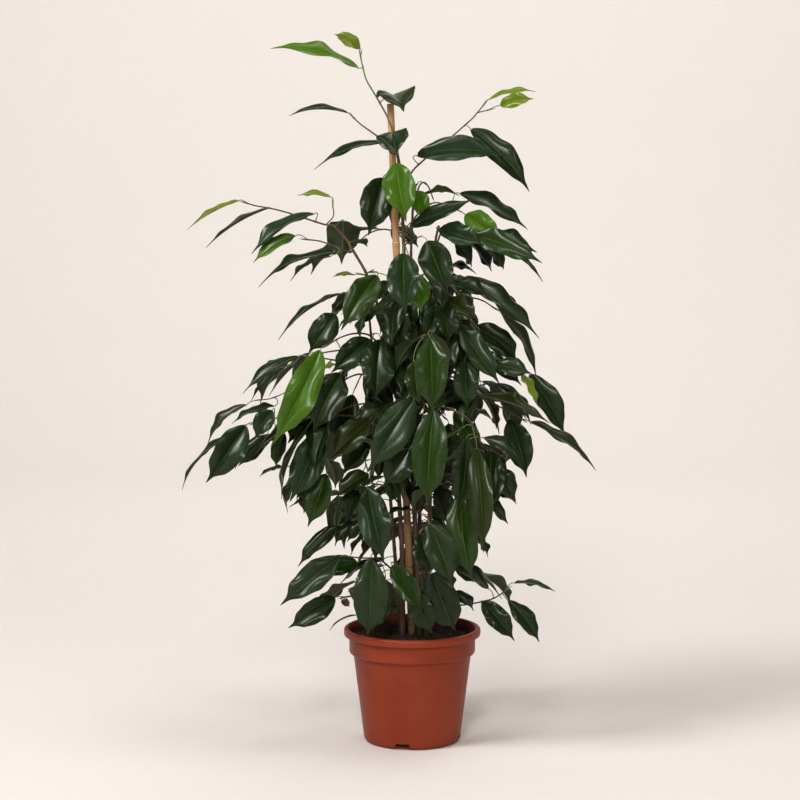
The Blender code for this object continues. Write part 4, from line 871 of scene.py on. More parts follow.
def twig_start(stem_name, stem_path, height, first_point):
    """Two points that start a twig square to its stem's bark, just clear of it."""
    thick, thin, _ = STEMS[stem_name]
    centre, direction, share = along_stem(stem_path, height)
    if height is None:
        return [centre + direction * GAP, centre + direction * TOP_TWIG_FOOT]
    away = first_point - centre
    away = (away - direction * away.dot(direction)).normalized()
    radius = thick + (thin - thick) * share
    return [centre + away * (radius + GAP), centre + away * (radius + TWIG_FOOT)]


def hand_leaf(reading, seed, nudge):
    """A leaf read from the front, eased by a nudge that keeps its place as seen."""
    start, end, width, roll, tone = reading
    out, tip_out, turn = nudge
    base = seen((start[0], start[1], start[2] + out))
    tip = seen((end[0], end[1], end[2] + out + tip_out))
    axis = (tip - base).normalized()
    front = EYE - base
    front = (front - axis * front.dot(axis)).normalized()
    upward = axis.cross(front)
    outward = Vector((math.copysign(0.3, base.x - PLANT_MIDDLE), 0.0, 1.0))
    if upward.dot(outward) < 0:
        upward = -upward
    angle = math.radians(roll + turn)
    return Leaf(base, tip, width, front * math.cos(angle) + upward * math.sin(angle), tone, seed)


def hanging_axis(level, fall):
    """The way of a leaf that hangs from a level heading by a fall in degrees."""
    return level * math.cos(math.radians(fall)) - UP * math.sin(math.radians(fall))


def hanging_normal(level, axis, lean):
    """The upper side of a hanging leaf, up and outward, and leaning to a side by a share."""
    return (UP * 0.7 + level * 0.9).lerp(axis.cross(UP), lean)


def rear_leaf(plan, seed, nudge):
    """A leaf of a rear branch, drawn by a rule and eased by a nudge to its heading and its droop."""
    place, heading, size, droop = plan
    swing, dip, turn = nudge
    level = level_at(math.radians(heading + swing * REAR_SWING))
    axis = hanging_axis(level, droop + dip * REAR_DIP)
    base = place + level * REAR_PETIOLE + UP * REAR_PETIOLE_RISE
    normal = hanging_normal(level, axis, math.sin(math.radians(turn)) * 0.5)
    return Leaf(base, base + axis * size, size * REAR_WIDTH, normal, DARK, seed)


def nudges():
    """Every way to ease a leaf, the slightest first."""
    ways = [(out, tip, roll) for out in OUT_STEPS for tip in TIP_STEPS for roll in ROLL_STEPS]
    return sorted(ways, key=lambda way: abs(way[0]) / 5 + abs(way[1]) / 8 + abs(way[2]) / 12)


def reach_at(height):
    """How far the plant reaches to the left and right at a height, as seen from the front."""
    for low, high in zip(OUTLINE, OUTLINE[1:]):
        if low[0] <= height <= high[0]:
            share = (height - low[0]) / (high[0] - low[0])
            return low[1] + (high[1] - low[1]) * share, low[2] + (high[2] - low[2]) * share
    return 0.0, 0.0


def is_outside(point):
    """Whether a point is seen past the plant's outline or in one of its gaps."""
    toward = EYE - point
    on_plane = point + toward * (point.y / -toward.y)
    left, right = reach_at(on_plane.z)
    in_gap = any(low_x <= on_plane.x <= high_x and low_z <= on_plane.z <= high_z
                 for low_x, high_x, low_z, high_z in WINDOWS)
    return in_gap or not left <= on_plane.x <= right


def shows_outside(leaf):
    """Whether any of a leaf would show outside the plant, seen from the front."""
    return any(is_outside(leaf.point(along, across))
               for along in spread(0.0, 1.0, 9) for across in (-1, 0, 1))


def rear_plan(stem_path, branch, draw):
    """The twig of a rear branch and its leaves: an arch that bends down, with leaves on both sides."""
    _, height, heading, reach, rise, count = branch
    centre = along_stem(stem_path, height)[0]
    level = level_at(math.radians(heading))
    level_side = Vector((-level.y, level.x, 0.0))
    bow = draw.uniform(-10, 10)
    path = []
    for share in REAR_SHARES:
        drop = rise * math.sin(math.pi * share * 0.7) + 14 * share - 34 * share * share
        path.append(centre + level * (reach * share) + level_side * (bow * share * share) + UP * drop)
    leaves = []
    for index in range(count):
        place = along_path(path, (index + 1) / count)
        swing = 0.0 if index == count - 1 else (REAR_SPREAD if index % 2 else -REAR_SPREAD)
        swing += draw.uniform(-REAR_STRAY, REAR_STRAY)
        leaves.append((place, heading + swing, draw.uniform(*REAR_LENGTH), draw.uniform(*REAR_DROOP)))
    return path, leaves


class Branch:
    """One leafy branch: its twigs, and its leaves and inner leaves with their petioles' roots."""

    def __init__(self, name, stem_name):
        self.name = name
        self.stem_name = stem_name
        self.twigs = []
        self.leaves = []
        self.inner = []

    def add_rooted(self, stem_path, height, path):
        """Add a twig that starts at the stem."""
        self.twigs.append(twig_start(self.stem_name, stem_path, height, path[0]) + path)

    def twig_solids(self):
        """The bars of the twigs, the first the thickest."""
        return [tube(path, spread(*twig_radii(index), len(path)), TWIG_SIDES)
                for index, path in enumerate(self.twigs)]


def cane_path():
    """The cane's axis."""
    return [seen(CANE_FOOT), seen(CANE_TOP)]


def stem_solid(name, path):
    """The bar of a rooted stem."""
    thick, thin, _ = STEMS[name]
    return tube(path, spread(thick, thin, len(path)), STEM_SIDES)


def plan_branches(stems):
    """The branches with their twigs, and for each leaf to place its branch, its maker and its plan."""
    branches = []
    plans = []
    for name, (stem_name, height, twigs, readings) in BRANCHES.items():
        branch = Branch(name, stem_name)
        first, *forks = [[seen(place) for place in route] for route in twigs]
        branch.add_rooted(stems[stem_name], height, first)
        branch.twigs += forks
        branches.append(branch)
        plans += [(branch, hand_leaf, reading) for reading in readings]
    for number, (name, data) in enumerate(REAR_BRANCHES.items()):
        branch = Branch(name, data[0])
        path, leaves = rear_plan(stems[data[0]], data, random.Random(SEED + number))
        branch.add_rooted(stems[data[0]], data[1], path)
        branches.append(branch)
        plans += [(branch, rear_leaf, leaf) for leaf in leaves]
    return branches, plans


def plan_plant():
    """Place every stem, twig and leaf clear of the rest, and give the stems' paths and the branches."""
    stems = {name: smooth_path([seen(place) for place in route], STEM_STEP)
             for name, (_, _, route) in STEMS.items()}
    placed = [Obstacle(tube(cane_path(), [CANE_RADIUS] * 2, CANE_SIDES), "cane", "wood")]
    placed += [Obstacle(stem_solid(name, path), name, "wood") for name, path in stems.items()]
    branches, plans = plan_branches(stems)
    for branch in branches:
        placed += [Obstacle(solid, branch.name, "wood") for solid in branch.twig_solids()]
    ways = nudges()
    for seed, (branch, maker, plan) in enumerate(plans):
        place_leaf(branch, maker, plan, seed, ways, placed)
    return stems, branches, placed


def place_leaf(branch, maker, plan, seed, ways, placed):
    """Take the slightest nudge that keeps a leaf clear of all that is placed."""
    for way in ways:
        leaf = maker(plan, seed, way)
        if maker is rear_leaf and shows_outside(leaf):
            continue
        for step in ROOT_STEPS:
            root = nearest_on(branch.twigs, leaf.base, step)
            if is_clear(leaf, root, branch, placed):
                branch.leaves.append((leaf, root))
                placed.append(Obstacle(leaf_solid(leaf, root), branch.name, "leaf"))
                return
    if maker is hand_leaf:
        raise ValueError(f"no clear place for leaf {seed} of {branch.name}")


def is_clear(leaf, root, branch, placed):
    """Whether a leaf keeps its clearance to all but the twigs that it may grow from."""
    guard = Obstacle(leaf_solid(leaf, root, CLEARANCE), branch.name, "leaf")
    return not any(guard.meets(other) for other in placed
                   if not (other.kind == "wood" and other.owner == branch.name))


class Mould:
    """Points and faces gathered for one mesh, with what the finish needs to know at each point."""

    def __init__(self):
        self.points = []
        self.faces = []
        self.slots = []
        self.tints = []
        self.places = []

    def add(self, points, faces, slot=0, tint=PLAIN, places=None):
        """Add a shape. A place is (along, across, side) on a blade, with side 1 above and -1 below, and
        (along, 0, 0) on bark."""
        start = len(self.points)
        self.points += points
        self.faces += [tuple(start + index for index in face) for face in faces]
        self.slots += [slot] * len(faces)
        self.tints += [(*tint, 1.0)] * len(points)
        self.places += places or [(0.0, 0.0, 0.0)] * len(points)

    def make(self, name, materials, node=None, sharp=LEAF_SHARP):
        """The finished object, riding with the frame. It stands for a node where one is given."""
        mesh = bpy.data.meshes.new(name)
        mesh.from_pydata([point * MILLIMETRE for point in self.points], [], self.faces)
        for material in materials:
            mesh.materials.append(material)
        mesh.polygons.foreach_set("material_index", self.slots)
        places = mesh.attributes.new("place", "FLOAT_VECTOR", "POINT")
        places.data.foreach_set("vector", np.array(self.places, np.float32).ravel())
        tints = mesh.attributes.new("tint", "FLOAT_COLOR", "POINT")
        tints.data.foreach_set("color", np.array(self.tints, np.float32).ravel())
        mesh.shade_smooth()
        mesh.set_sharp_from_angle(angle=math.radians(sharp))
        made = put_in_scene(name, mesh)
        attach(made, "root")
        if node:
            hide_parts(node)
        return made


def put_in_scene(name, data):
    """A new object that holds a mesh, a light or a camera."""
    made = bpy.data.objects.new(name, data)
    bpy.context.scene.collection.objects.link(made)
    return made


def varied(colour, draw, spread_by):
    """A colour made a little lighter or darker, and a little warmer or cooler."""
    light = 1.0 + draw.uniform(-spread_by, spread_by)
    warm = draw.uniform(-spread_by, spread_by) * 0.5
    return (colour[0] * light * (1 + warm), colour[1] * light, colour[2] * light * (1 - warm))


def blade_surface(leaf, along, across, face, frill):
    """A point on the upper (face 1) or under (face -1) side of a fine blade."""
    half = leaf.width / 2 * blade_outline(along)
    lift = BULGE * half * math.sin(math.pi * abs(across))
    size, count, shift = frill
    swing = math.tau * count * along + leaf.phase * 2 + (shift if across > 0 else 0.0)
    lift += size * abs(across) ** 2.5 * math.sin(swing) * blade_outline(along)
    across *= 1.0 + FRILL_SWAY * math.sin(swing * 1.3 + shift) * abs(across)
    rib = math.exp(-(across / MIDRIB_WIDTH) ** 2)
    fade = (1.0 - along) ** 0.8
    if face > 0:
        lift += BLADE_THICK / 2 - MIDRIB_GROOVE * rib * fade
    else:
        lift -= BLADE_THICK / 2 + MIDRIB_DEPTH * rib * fade
    return leaf.point(along, across, lift)


def rim_of_grid(rows, count):
    """The numbers of a grid's outer points, in order round it."""
    rim = [column for column in range(count)]
    rim += [row * count + count - 1 for row in range(1, rows)]
    rim += [(rows - 1) * count + column for column in range(count - 2, -1, -1)]
    return rim + [row * count for row in range(rows - 2, 0, -1)]


def add_blade(mould, leaf, draw, rows, columns):
    """The blade as a closed sheet with a groove over its midrib and a ridge under it."""
    tint = varied(LEAF_COLOURS[leaf.tone], draw, 0.14)
    frill = leaf.width * draw.uniform(*FRILL_HEIGHT), draw.uniform(*FRILL_COUNT), draw.uniform(*FRILL_SHIFT)
    count = len(columns)
    points = []
    places = []
    for face in (1, -1):
        for row in range(rows):
            share = row / (rows - 1)
            along = 0.012 + 0.984 * (share * 0.75 + 0.25 * (0.5 - 0.5 * math.cos(math.pi * share)))
            for across in columns:
                points.append(blade_surface(leaf, along, across, face, frill))
                places.append((along, across, float(face)))
    faces = []
    under = rows * count
    for row in range(rows - 1):
        for column in range(count - 1):
            a = row * count + column
            faces.append((a, a + 1, a + 1 + count, a + count))
            faces.append((under + a, under + a + count, under + a + 1 + count, under + a + 1))
    rim = rim_of_grid(rows, count)
    for point, after in zip(rim, rim[1:] + rim[:1]):
        faces.append((point, under + point, under + after, after))
    mould.add(points, faces, BLADE_SLOT, tint, places)


def bezier(start, control, end, share):
    """A point on a curve with one control point."""
    return start * (1 - share) ** 2 + control * 2 * share * (1 - share) + end * share * share


def add_petiole(mould, leaf, root, tint):
    """The petiole, from inside the twig to the midrib under the blade."""
    control = petiole_control(leaf, root)
    path = [bezier(root, control, leaf.base, index / PETIOLE_STEPS) for index in range(PETIOLE_STEPS)]
    path += [leaf.point(along, 0.0, above) for along, above in PETIOLE_ENDS]
    points, faces = tube(path, PETIOLE_RADII, THIN_SIDES)
    mould.add(points, faces, WOOD_SLOT, tint)


def add_leaf(mould, leaf, root, draw, rows=ROWS, columns=COLUMNS):
    """A fine leaf with its petiole. A dry leaf's petiole is brown."""
    add_petiole(mould, leaf, root, varied(OLD_TWIG if leaf.tone == BROWN else PETIOLE_COLOUR, draw, 0.2))
    add_blade(mould, leaf, draw, rows, columns)


def add_inner_leaves(mould, holder, draw):
    """The smaller inner leaves of a stem or branch."""
    for leaf, root in holder.inner:
        add_leaf(mould, leaf, root, draw, INNER_ROWS, INNER_COLUMNS)


def add_twig(mould, path, first, last, roots, tint):
    """A twig with a slight swelling where each leaf leaves it."""
    route = smooth_path(path, FINE_TWIG_STEP)
    radii = []
    for point, radius in zip(route, spread(first, last, len(route))):
        swell = sum(math.exp(-((point - root).length / SWELL_LENGTH) ** 2) for root in roots)
        radii.append(radius + SWELL_RISE * min(swell, 1.3))
    points, faces = tube(route, radii, FINE_TWIG_SIDES)
    mould.add(points, faces, WOOD_SLOT, tint)


def add_bud(mould, path, radius, tint):
    """The pointed sheath that ends a twig."""
    heading = (path[-1] - path[-2]).normalized()
    route = [path[-1] + heading * distance for distance, _ in BUD]
    points, faces = tube(route, [radius * share for _, share in BUD], THIN_SIDES)
    mould.add(points, faces, WOOD_SLOT, tint)


def fine_branch(branch, stem_path, materials, number):
    """One leafy branch as a fine mesh in place of its solid."""
    draw = random.Random(SEED + BRANCH_DRAWS + number)
    mould = Mould()
    young = sum(leaf.tone in (FRESH, BRIGHT) for leaf, _ in branch.leaves) * 2 > len(branch.leaves)
    twig_tint = varied(YOUNG_TWIG if young else OLD_TWIG, draw, 0.15)
    roots = [root for _, root in branch.leaves]
    for index, path in enumerate(branch.twigs):
        first, last = twig_radii(index)
        start = nearest_point(stem_path, path[0]) if index == 0 else path[0]
        route = [start] + path[1:]
        add_twig(mould, route, first * TWIG_SHARE, last * TWIG_END_SHARE, roots, twig_tint)
        add_bud(mould, route, last * BUD_SHARE, varied(PETIOLE_COLOUR, draw, 0.1))
    for leaf, root in branch.leaves:
        add_leaf(mould, leaf, root, draw)
    add_inner_leaves(mould, branch, draw)
    mould.make(f"leafy_{branch.name}", materials, f"branch_{branch.name}")


def inner_leaf(root, heading, draw, seed):
    """A smaller leaf that hangs out from a place on the wood."""
    level = level_at(math.radians(heading))
    axis = hanging_axis(level, draw.uniform(*INNER_DROOP))
    size = draw.uniform(*INNER_LENGTH)
    base = root + level * draw.uniform(*INNER_STALK) + UP * draw.uniform(*INNER_RISE)
    normal = hanging_normal(level, axis, draw.uniform(*INNER_LEAN))
    tone = draw.choice(INNER_TONES)
    return Leaf(base, base + axis * size, size * draw.uniform(*INNER_WIDTH), normal, tone, seed)


def fits_inside(leaf):
    """Whether an inner leaf keeps to the plant's middle and, low down, to the space behind the stems."""
    if not INNER_LOWEST < leaf.tip.z < leaf.base.z < INNER_HIGHEST:
        return False
    if leaf.tip.z < INNER_MIDDLE and min(leaf.tip.y, leaf.base.y) < INNER_BEHIND:
        return False
    reach = math.hypot(leaf.tip.x - PLANT_MIDDLE, leaf.tip.y)
    return reach < INNER_REACH and abs(leaf.tip.y) < INNER_DEPTH and not shows_outside(leaf)


def fill_in(stems, branches, placed):
    """Grow the smaller inner leaves on the stems and twigs, clear of all the rest and inside the outline."""
    draw = random.Random(SEED + FILL_DRAWS)
    holders = [Branch(name, name) for name in stems]
    for holder in holders:
        holder.twigs = [stems[holder.name]]
    for holder in holders + branches:
        on_stem = holder in holders
        for path in holder.twigs:
            distance = INNER_FIRST if on_stem else INNER_STEP / 2
            last = walked(path)[-1] - ROOT_DEPTH
            while distance < last:
                grow_inner(holder, at_distance(path, distance), draw, placed)
                distance += INNER_STEM_STEP if on_stem else INNER_STEP
    return holders


def grow_inner(holder, root, draw, placed):
    """Grow one inner leaf at a place on the wood, at the first heading where it fits."""
    turn = draw.uniform(0, 360)
    for attempt in range(INNER_TRIES):
        leaf = inner_leaf(root, turn + attempt * INNER_TURN, draw, draw.randrange(5000, 50000))
        if fits_inside(leaf) and is_clear(leaf, root, holder, placed):
            holder.inner.append((leaf, root))
            placed.append(Obstacle(leaf_solid(leaf, root), holder.name, "leaf"))
            return


def fine_inner(holder, materials, number):
    """The inner leaves of one stem."""
    mould = Mould()
    add_inner_leaves(mould, holder, random.Random(SEED + INNER_DRAWS + number))
    mould.make(f"inner_leaves_{holder.name}", materials)


def fine_stem(name, route, material, number):
    """A rooted stem with leaf scars and a slight flare at the soil."""
    thick, thin, _ = STEMS[name]
    path = smooth_path([seen(place) for place in route], BARK_STEP)
    distances = walked(path)
    draw = random.Random(SEED + STEM_DRAWS + number)
    next_scar = draw.uniform(*SCAR_FIRST)
    scars = []
    for distance in distances[1:]:
        if distance > next_scar:
            scars.append(distance)
            next_scar += draw.uniform(*SCAR_STEP)
    radii = []
    for point, distance, radius in zip(path, distances, spread(thick, thin, len(path))):
        flare = STEM_FLARE * math.exp(-max(point.z - SOIL_HEIGHT, 0.0) / FLARE_HEIGHT)
        scar = sum(math.exp(-((distance - place) / SCAR_LENGTH) ** 2) for place in scars)
        radii.append(radius * (1.0 + flare) * BARK_SHARE + SCAR_RISE * min(scar, 1.0))
    points, faces = tube(path, radii, BARK_SIDES)
    places = [(index // BARK_SIDES * BARK_STEP, 0.0, 0.0) for index in range(len(points))]
    mould = Mould()
    mould.add(points, faces, places=places)
    mould.make(f"bark_{name}", [material], f"stem_{name}")


def cane_radius(distance, length, knots):
    """The cane's radius at a distance from its foot, with two ridges and a groove at each knot."""
    radius = CANE_RADIUS - CANE_TAPER * distance / length
    for knot in knots:
        past = distance - knot
        ridge = math.exp(-((past - 0.9) / 1.3) ** 2) + math.exp(-((past + 1.6) / 0.8) ** 2)
        radius += 0.75 * ridge - 0.35 * math.exp(-((past + 0.5) / 0.45) ** 2)
    return radius


def fine_cane(material):
    """The bamboo cane, with a ridged joint at each knot and a bore at its cut top."""
    foot, top = cane_path()
    lean = (top - foot).normalized()
    length = (top - foot).length
    knots = [(height - foot.z) / lean.z for height in CANE_KNOTS]
    distances = [index * CANE_STEP for index in range(int(length / CANE_STEP))]
    distances += [knot + step for knot in knots for step in KNOT_STEPS]
    stops = [(distance, cane_radius(distance, length, knots)) for distance in sorted(distances)]
    end = CANE_RADIUS - CANE_TAPER
    stops += [(length - 0.4, end), (length, end - 0.35), (length, CANE_BORE + 0.3), (length - 0.4, CANE_BORE),
              (length - CANE_BORE_DEPTH, CANE_BORE)]
    across = lean.orthogonal().normalized()
    other = lean.cross(across)
    points = []
    for distance, radius in stops:
        for angle in turns(FINE_CANE_SIDES):
            oval = 1.0 + 0.03 * math.cos(2 * angle + 0.6)
            outward = across * math.cos(angle) + other * math.sin(angle)
            points.append(foot + lean * distance + outward * radius * oval)
    mould = Mould()
    mould.add(points, tube_faces(len(stops), FINE_CANE_SIDES))
    mould.make("bamboo_cane", [material], "cane", CANE_SHARP)


def arc(centre_radius, centre_height, size, first, last, count):
    """Points on a part of a circle in the profile's plane, by angles in degrees."""
    return [(centre_radius + size * math.cos(math.radians(angle)),
             centre_height + size * math.sin(math.radians(angle))) for angle in spread(first, last, count)]


def fine_pot_profile():
    """The pot's profile with its rounded corners, stepped collar and rolled rim."""
    under_rim = POT_HEIGHT - RIM_HEIGHT
    wall_run = POT_NECK_RADIUS - POT_FOOT_RADIUS
    bore = COLLAR_RADIUS - POT_WALL
    outside = [(20.0, 0.0), (40.0, 0.0), (52.0, 0.0)]
    outside += arc(POT_FOOT_RADIUS - FOOT_ROUND, FOOT_ROUND, FOOT_ROUND, -90, -4, 8)
    outside += [(POT_FOOT_RADIUS + wall_run * share, FOOT_ROUND + (POT_NECK_HEIGHT - 8) * share)
                for share in spread(0.04, 0.99, 24)]
    outside += arc(POT_NECK_RADIUS + 3.2, POT_NECK_HEIGHT + 0.5, 3.0, 178, 96, 6)
    outside += arc(COLLAR_RADIUS - 3.6, COLLAR_HEIGHT - 3.0, 3.6, -80, 0, 7)
    outside += [(COLLAR_RADIUS + 0.2 * share, COLLAR_HEIGHT - 2 + (under_rim - COLLAR_HEIGHT + 1.2) * share)
                for share in spread(0.1, 1.0, 6)]
    outside += [(COLLAR_RADIUS + 1.2, under_rim - 0.4), (RIM_RADIUS - 2.2, under_rim - 0.1)]
    outside += arc(RIM_RADIUS - 2.2, under_rim + 2.1, 2.2, -75, 0, 5)
    outside += [(RIM_RADIUS, under_rim + 4.0), (RIM_RADIUS, under_rim + 6.5)]
    outside += arc(RIM_RADIUS - 3.6, POT_HEIGHT - 3.6, 3.6, 8, 90, 7)
    outside += arc(RIM_RADIUS - 4.8, POT_HEIGHT - 2.6, 2.6, 92, 176, 6)
    inside = [(COLLAR_RADIUS - 0.6, POT_HEIGHT - 6.0), (bore, POT_HEIGHT - 10.0), (bore, COLLAR_HEIGHT + 1.0),
              (POT_NECK_RADIUS - POT_WALL, POT_NECK_HEIGHT + 0.5), (POT_FOOT_RADIUS - 4.5, 8.0),
              (POT_FOOT_RADIUS - 10.0, POT_WALL), (30.0, POT_WALL)]
    return [(0.0, 0.0)] + outside + inside + [(0.0, POT_WALL)]


def lathe(profile, sides):
    """A turned solid from a profile that starts and ends on the axis."""
    rim = profile[1:-1]
    points = [level_at(angle, radius, height) for radius, height in rim for angle in turns(sides)]
    start = len(points)
    points += [Vector((0.0, 0.0, profile[0][1])), Vector((0.0, 0.0, profile[-1][1]))]
    faces = []
    for ring in range(len(rim) - 1):
        faces += ring_faces(ring * sides, (ring + 1) * sides, sides)
    last = start - sides
    for side in range(sides):
        after = (side + 1) % sides
        faces += [(start, after, side), (start + 1, last + side, last + after)]
    return points, faces


def notch_wedge(index):
    """The points and faces of the wedge that cuts one drain notch."""
    outward = level_at(NOTCH_TURN + math.tau * index / NOTCH_COUNT)
    sideways = Vector((-outward.y, outward.x, 0.0))
    points = []
    for reach in (POT_FOOT_RADIUS - NOTCH_DEPTH, POT_FOOT_RADIUS + 5.0):
        for half, height in ((NOTCH_WIDTH / 2, -1.0), (NOTCH_TOP_WIDTH / 2, NOTCH_HEIGHT)):
            points += [outward * reach + sideways * half * sign + UP * height for sign in (-1, 1)]
    return points, [(0, 1, 3, 2), (4, 6, 7, 5), (0, 4, 5, 1), (2, 3, 7, 6), (0, 2, 6, 4), (1, 5, 7, 3)]


def cut_notch(pot, index):
    """Cut one drain notch out of the pot's foot."""
    points, faces = notch_wedge(index)
    mesh = bpy.data.meshes.new("wedge")
    mesh.from_pydata([point * MILLIMETRE for point in points], [], faces)
    shape = bmesh.new()
    shape.from_mesh(mesh)
    bmesh.ops.recalc_face_normals(shape, faces=shape.faces)
    shape.to_mesh(mesh)
    shape.free()
    wedge = put_in_scene("wedge", mesh)
    cut = pot.modifiers.new("notch", "BOOLEAN")
    cut.operation = "DIFFERENCE"
    cut.object = wedge
    cut.solver = "EXACT"
    bpy.context.view_layer.update()
    notched = bpy.data.meshes.new_from_object(pot.evaluated_get(bpy.context.evaluated_depsgraph_get()))
    pot.modifiers.clear()
    pot.data = notched
    bpy.data.objects.remove(wedge)


def fine_pot(material):
    """The plastic pot, turned fine and cut by its drain notches."""
    mould = Mould()
    mould.add(*lathe(fine_pot_profile(), FINE_POT_SIDES))
    pot = mould.make("nursery_pot", [material], "pot", POT_SHARP)
    for index in range(NOTCH_COUNT):
        cut_notch(pot, index)
    pot.data.set_sharp_from_angle(angle=math.radians(POT_SHARP))


def soil_surface(x, y):
    """The height of the soil at a place, with its crumbs."""
    reach = min(math.hypot(x, y) / SOIL_REACH, 1.0)
    height = SOIL_HEIGHT - 1.0 + SOIL_CROWN * (1.0 - reach * reach)
    height += 2.4 * noise.noise(Vector((x / 26, y / 26, 1.0)))
    height += 1.5 * noise.noise(Vector((x / 9, y / 9, 5.0)))
    height += 1.1 * abs(noise.noise(Vector((x / 3.6, y / 3.6, 9.0))))
    return height - 1.5 * max(reach - 0.9, 0.0) / 0.1


def fine_soil(material):
    """The soil, filling the pot under a crumbly surface, with lumps and chips of bark on it."""
    outer = COLLAR_RADIUS - POT_WALL - 0.3
    profile = [(0.0, POT_WALL + GAP), (POT_FOOT_RADIUS - 10.4, POT_WALL + GAP), (POT_FOOT_RADIUS - 5.0, 8.0),
               (POT_NECK_RADIUS - POT_WALL - 0.4, POT_NECK_HEIGHT), (outer, COLLAR_HEIGHT + 2.0)]
    profile += [(outer * (1.0 - ring / SOIL_RINGS), SOIL_HEIGHT) for ring in range(SOIL_RINGS + 1)]
    points, faces = lathe(profile, FINE_SOIL_SIDES)
    for point in points:
        if point.z > COLLAR_HEIGHT + 5.0:
            point.z = soil_surface(point.x, point.y)
    mould = Mould()
    mould.add(points, faces, tint=SOIL_COLOUR)
    draw = random.Random(SEED + SOIL_DRAWS)
    for _ in range(LUMP_COUNT):
        add_lump(mould, draw)
    mould.make("crumbly_soil", [material], "soil", SOIL_SHARP)


def round_lump():
    """A rough ball of three rings between its two poles."""
    sides = LUMP_SIDES
    points = [Vector((0, 0, 1))]
    for ring in range(1, 4):
        tilt = math.pi * ring / 4
        points += [level_at(math.tau * (side + 0.5 * (ring % 2)) / sides, math.sin(tilt), math.cos(tilt))
                   for side in range(sides)]
    points.append(Vector((0, 0, -1)))
    faces = []
    for side in range(sides):
        after = (side + 1) % sides
        faces += [(0, 1 + side, 1 + after), (3 * sides + 1, 2 * sides + 1 + after, 2 * sides + 1 + side)]
    for ring in range(2):
        faces += [face[::-1] for face in ring_faces(1 + sides * ring, 1 + sides * (ring + 1), sides)]
    return points, faces


def add_lump(mould, draw):
    """One crumb of peat or chip of bark, half sunk in the soil."""
    angle = draw.uniform(0, math.tau)
    reach = LUMP_REACH * math.sqrt(draw.random())
    x, y = reach * math.cos(angle), reach * math.sin(angle)
    chip = draw.random() < CHIP_SHARE
    size = draw.uniform(*CHIP_SIZE) if chip else draw.uniform(*CRUMB_SIZE)
    shape = (1.0, draw.uniform(0.35, 0.6), draw.uniform(0.2, 0.4)) if chip else (1.0, 0.85, 0.75)
    turn = Matrix.Rotation(draw.uniform(0, math.tau), 3, "Z")
    turn @= Matrix.Rotation(draw.uniform(-0.5, 0.5), 3, "Y")
    centre = Vector((x, y, soil_surface(x, y) + size * shape[2] * 0.3))
    colour = draw.choice(CHIP_COLOURS if chip else CRUMB_COLOURS)
    points, faces = round_lump()
    points = [centre + turn @ Vector([point[axis] * shape[axis] for axis in range(3)]) * size
              * (1.0 + draw.uniform(-0.2, 0.2)) for point in points]
    mould.add(points, faces, tint=colour)


class Finish:
    """A material's node tree, with short ways to add what the finishes share."""

    def __init__(self, name, roughness, **constants):
        self.material = bpy.data.materials.new(name)
        self.material.use_nodes = True
        self.tree = self.material.node_tree
        self.shader = self.tree.nodes["Principled BSDF"]
        self.shader.inputs["Roughness"].default_value = roughness
        for socket, value in constants.items():
            self.shader.inputs[socket.replace("_", " ")].default_value = value

    def put(self, socket, value):
        """Set a socket from a number, a colour or another node's output."""
        if isinstance(value, bpy.types.NodeSocket):
            self.tree.links.new(value, socket)
        elif socket.type == "RGBA" and isinstance(value, tuple):
            socket.default_value = (*value, 1.0)
        else:
            socket.default_value = value

    def node(self, kind, *values, **settings):
        """A new node with its settings and its first inputs."""
        node = self.tree.nodes.new("ShaderNode" + kind)
        for setting, value in settings.items():
            setattr(node, setting, value)
        for socket, value in zip(node.inputs, values):
            self.put(socket, value)
        return node

    def math(self, operation, *values):
        """One sum of one or two numbers."""
        return self.node("Math", *values, operation=operation).outputs[0]

    def plus(self, first, second):
        """Two numbers added."""
        return self.math("ADD", first, second)

    def times(self, first, second):
        """Two numbers multiplied."""
        return self.math("MULTIPLY", first, second)

    def mix(self, share, first, second, blend="MIX"):
        """One colour turned into another by a share."""
        node = self.node("Mix", share, data_type="RGBA", blend_type=blend)
        self.put(node.inputs[6], first)
        self.put(node.inputs[7], second)
        return node.outputs[2]

    def layer(self, body, mask, amount, colour):
        """A colour laid over a body where a mask is, by an amount."""
        return self.mix(self.times(mask, amount), body, colour)

    def shaded(self, colour, factors):
        """A colour multiplied by three factors."""
        return self.mix(1.0, colour, factors, "MULTIPLY")

    def ramp(self, value, low, high):
        """A number brought from low to high into 0 to 1, and kept there."""
        return self.node("MapRange", value, low, high, interpolation_type="SMOOTHSTEP").outputs[0]

    def noise(self, vector, scale, detail=3.0, rough=0.55):
        """Cloudy noise from 0 to 1."""
        node = self.node("TexNoise", vector)
        for name, value in (("Scale", scale), ("Detail", detail), ("Roughness", rough)):
            node.inputs[name].default_value = value
        return node.outputs["Fac"]

    def attribute(self, name, output):
        """What the mesh says of each point."""
        return self.node("Attribute", attribute_name=name).outputs[output]

    def split(self, vector):
        """The three numbers of a vector."""
        return tuple(self.node("SeparateXYZ", vector).outputs)

    def where(self):
        """The place on the object, in metres."""
        return self.node("TexCoord").outputs["Object"]

    def stretch(self, vector, scale):
        """A place squeezed or stretched along each axis."""
        node = self.node("Mapping", vector)
        node.inputs["Scale"].default_value = scale
        return node.outputs[0]

    def bump(self, height, distance, strength=0.8):
        """Relief from a height of 0 to 1, with the depth of a full step in metres."""
        node = self.node("Bump")
        for name, value in (("Strength", strength), ("Distance", distance), ("Height", height)):
            self.put(node.inputs[name], value)
        self.put(self.shader.inputs["Normal"], node.outputs[0])

    def colour(self, value):
        """Set the base colour."""
        self.put(self.shader.inputs["Base Color"], value)

    def rough(self, value):
        """Set the roughness."""
        self.put(self.shader.inputs["Roughness"], value)


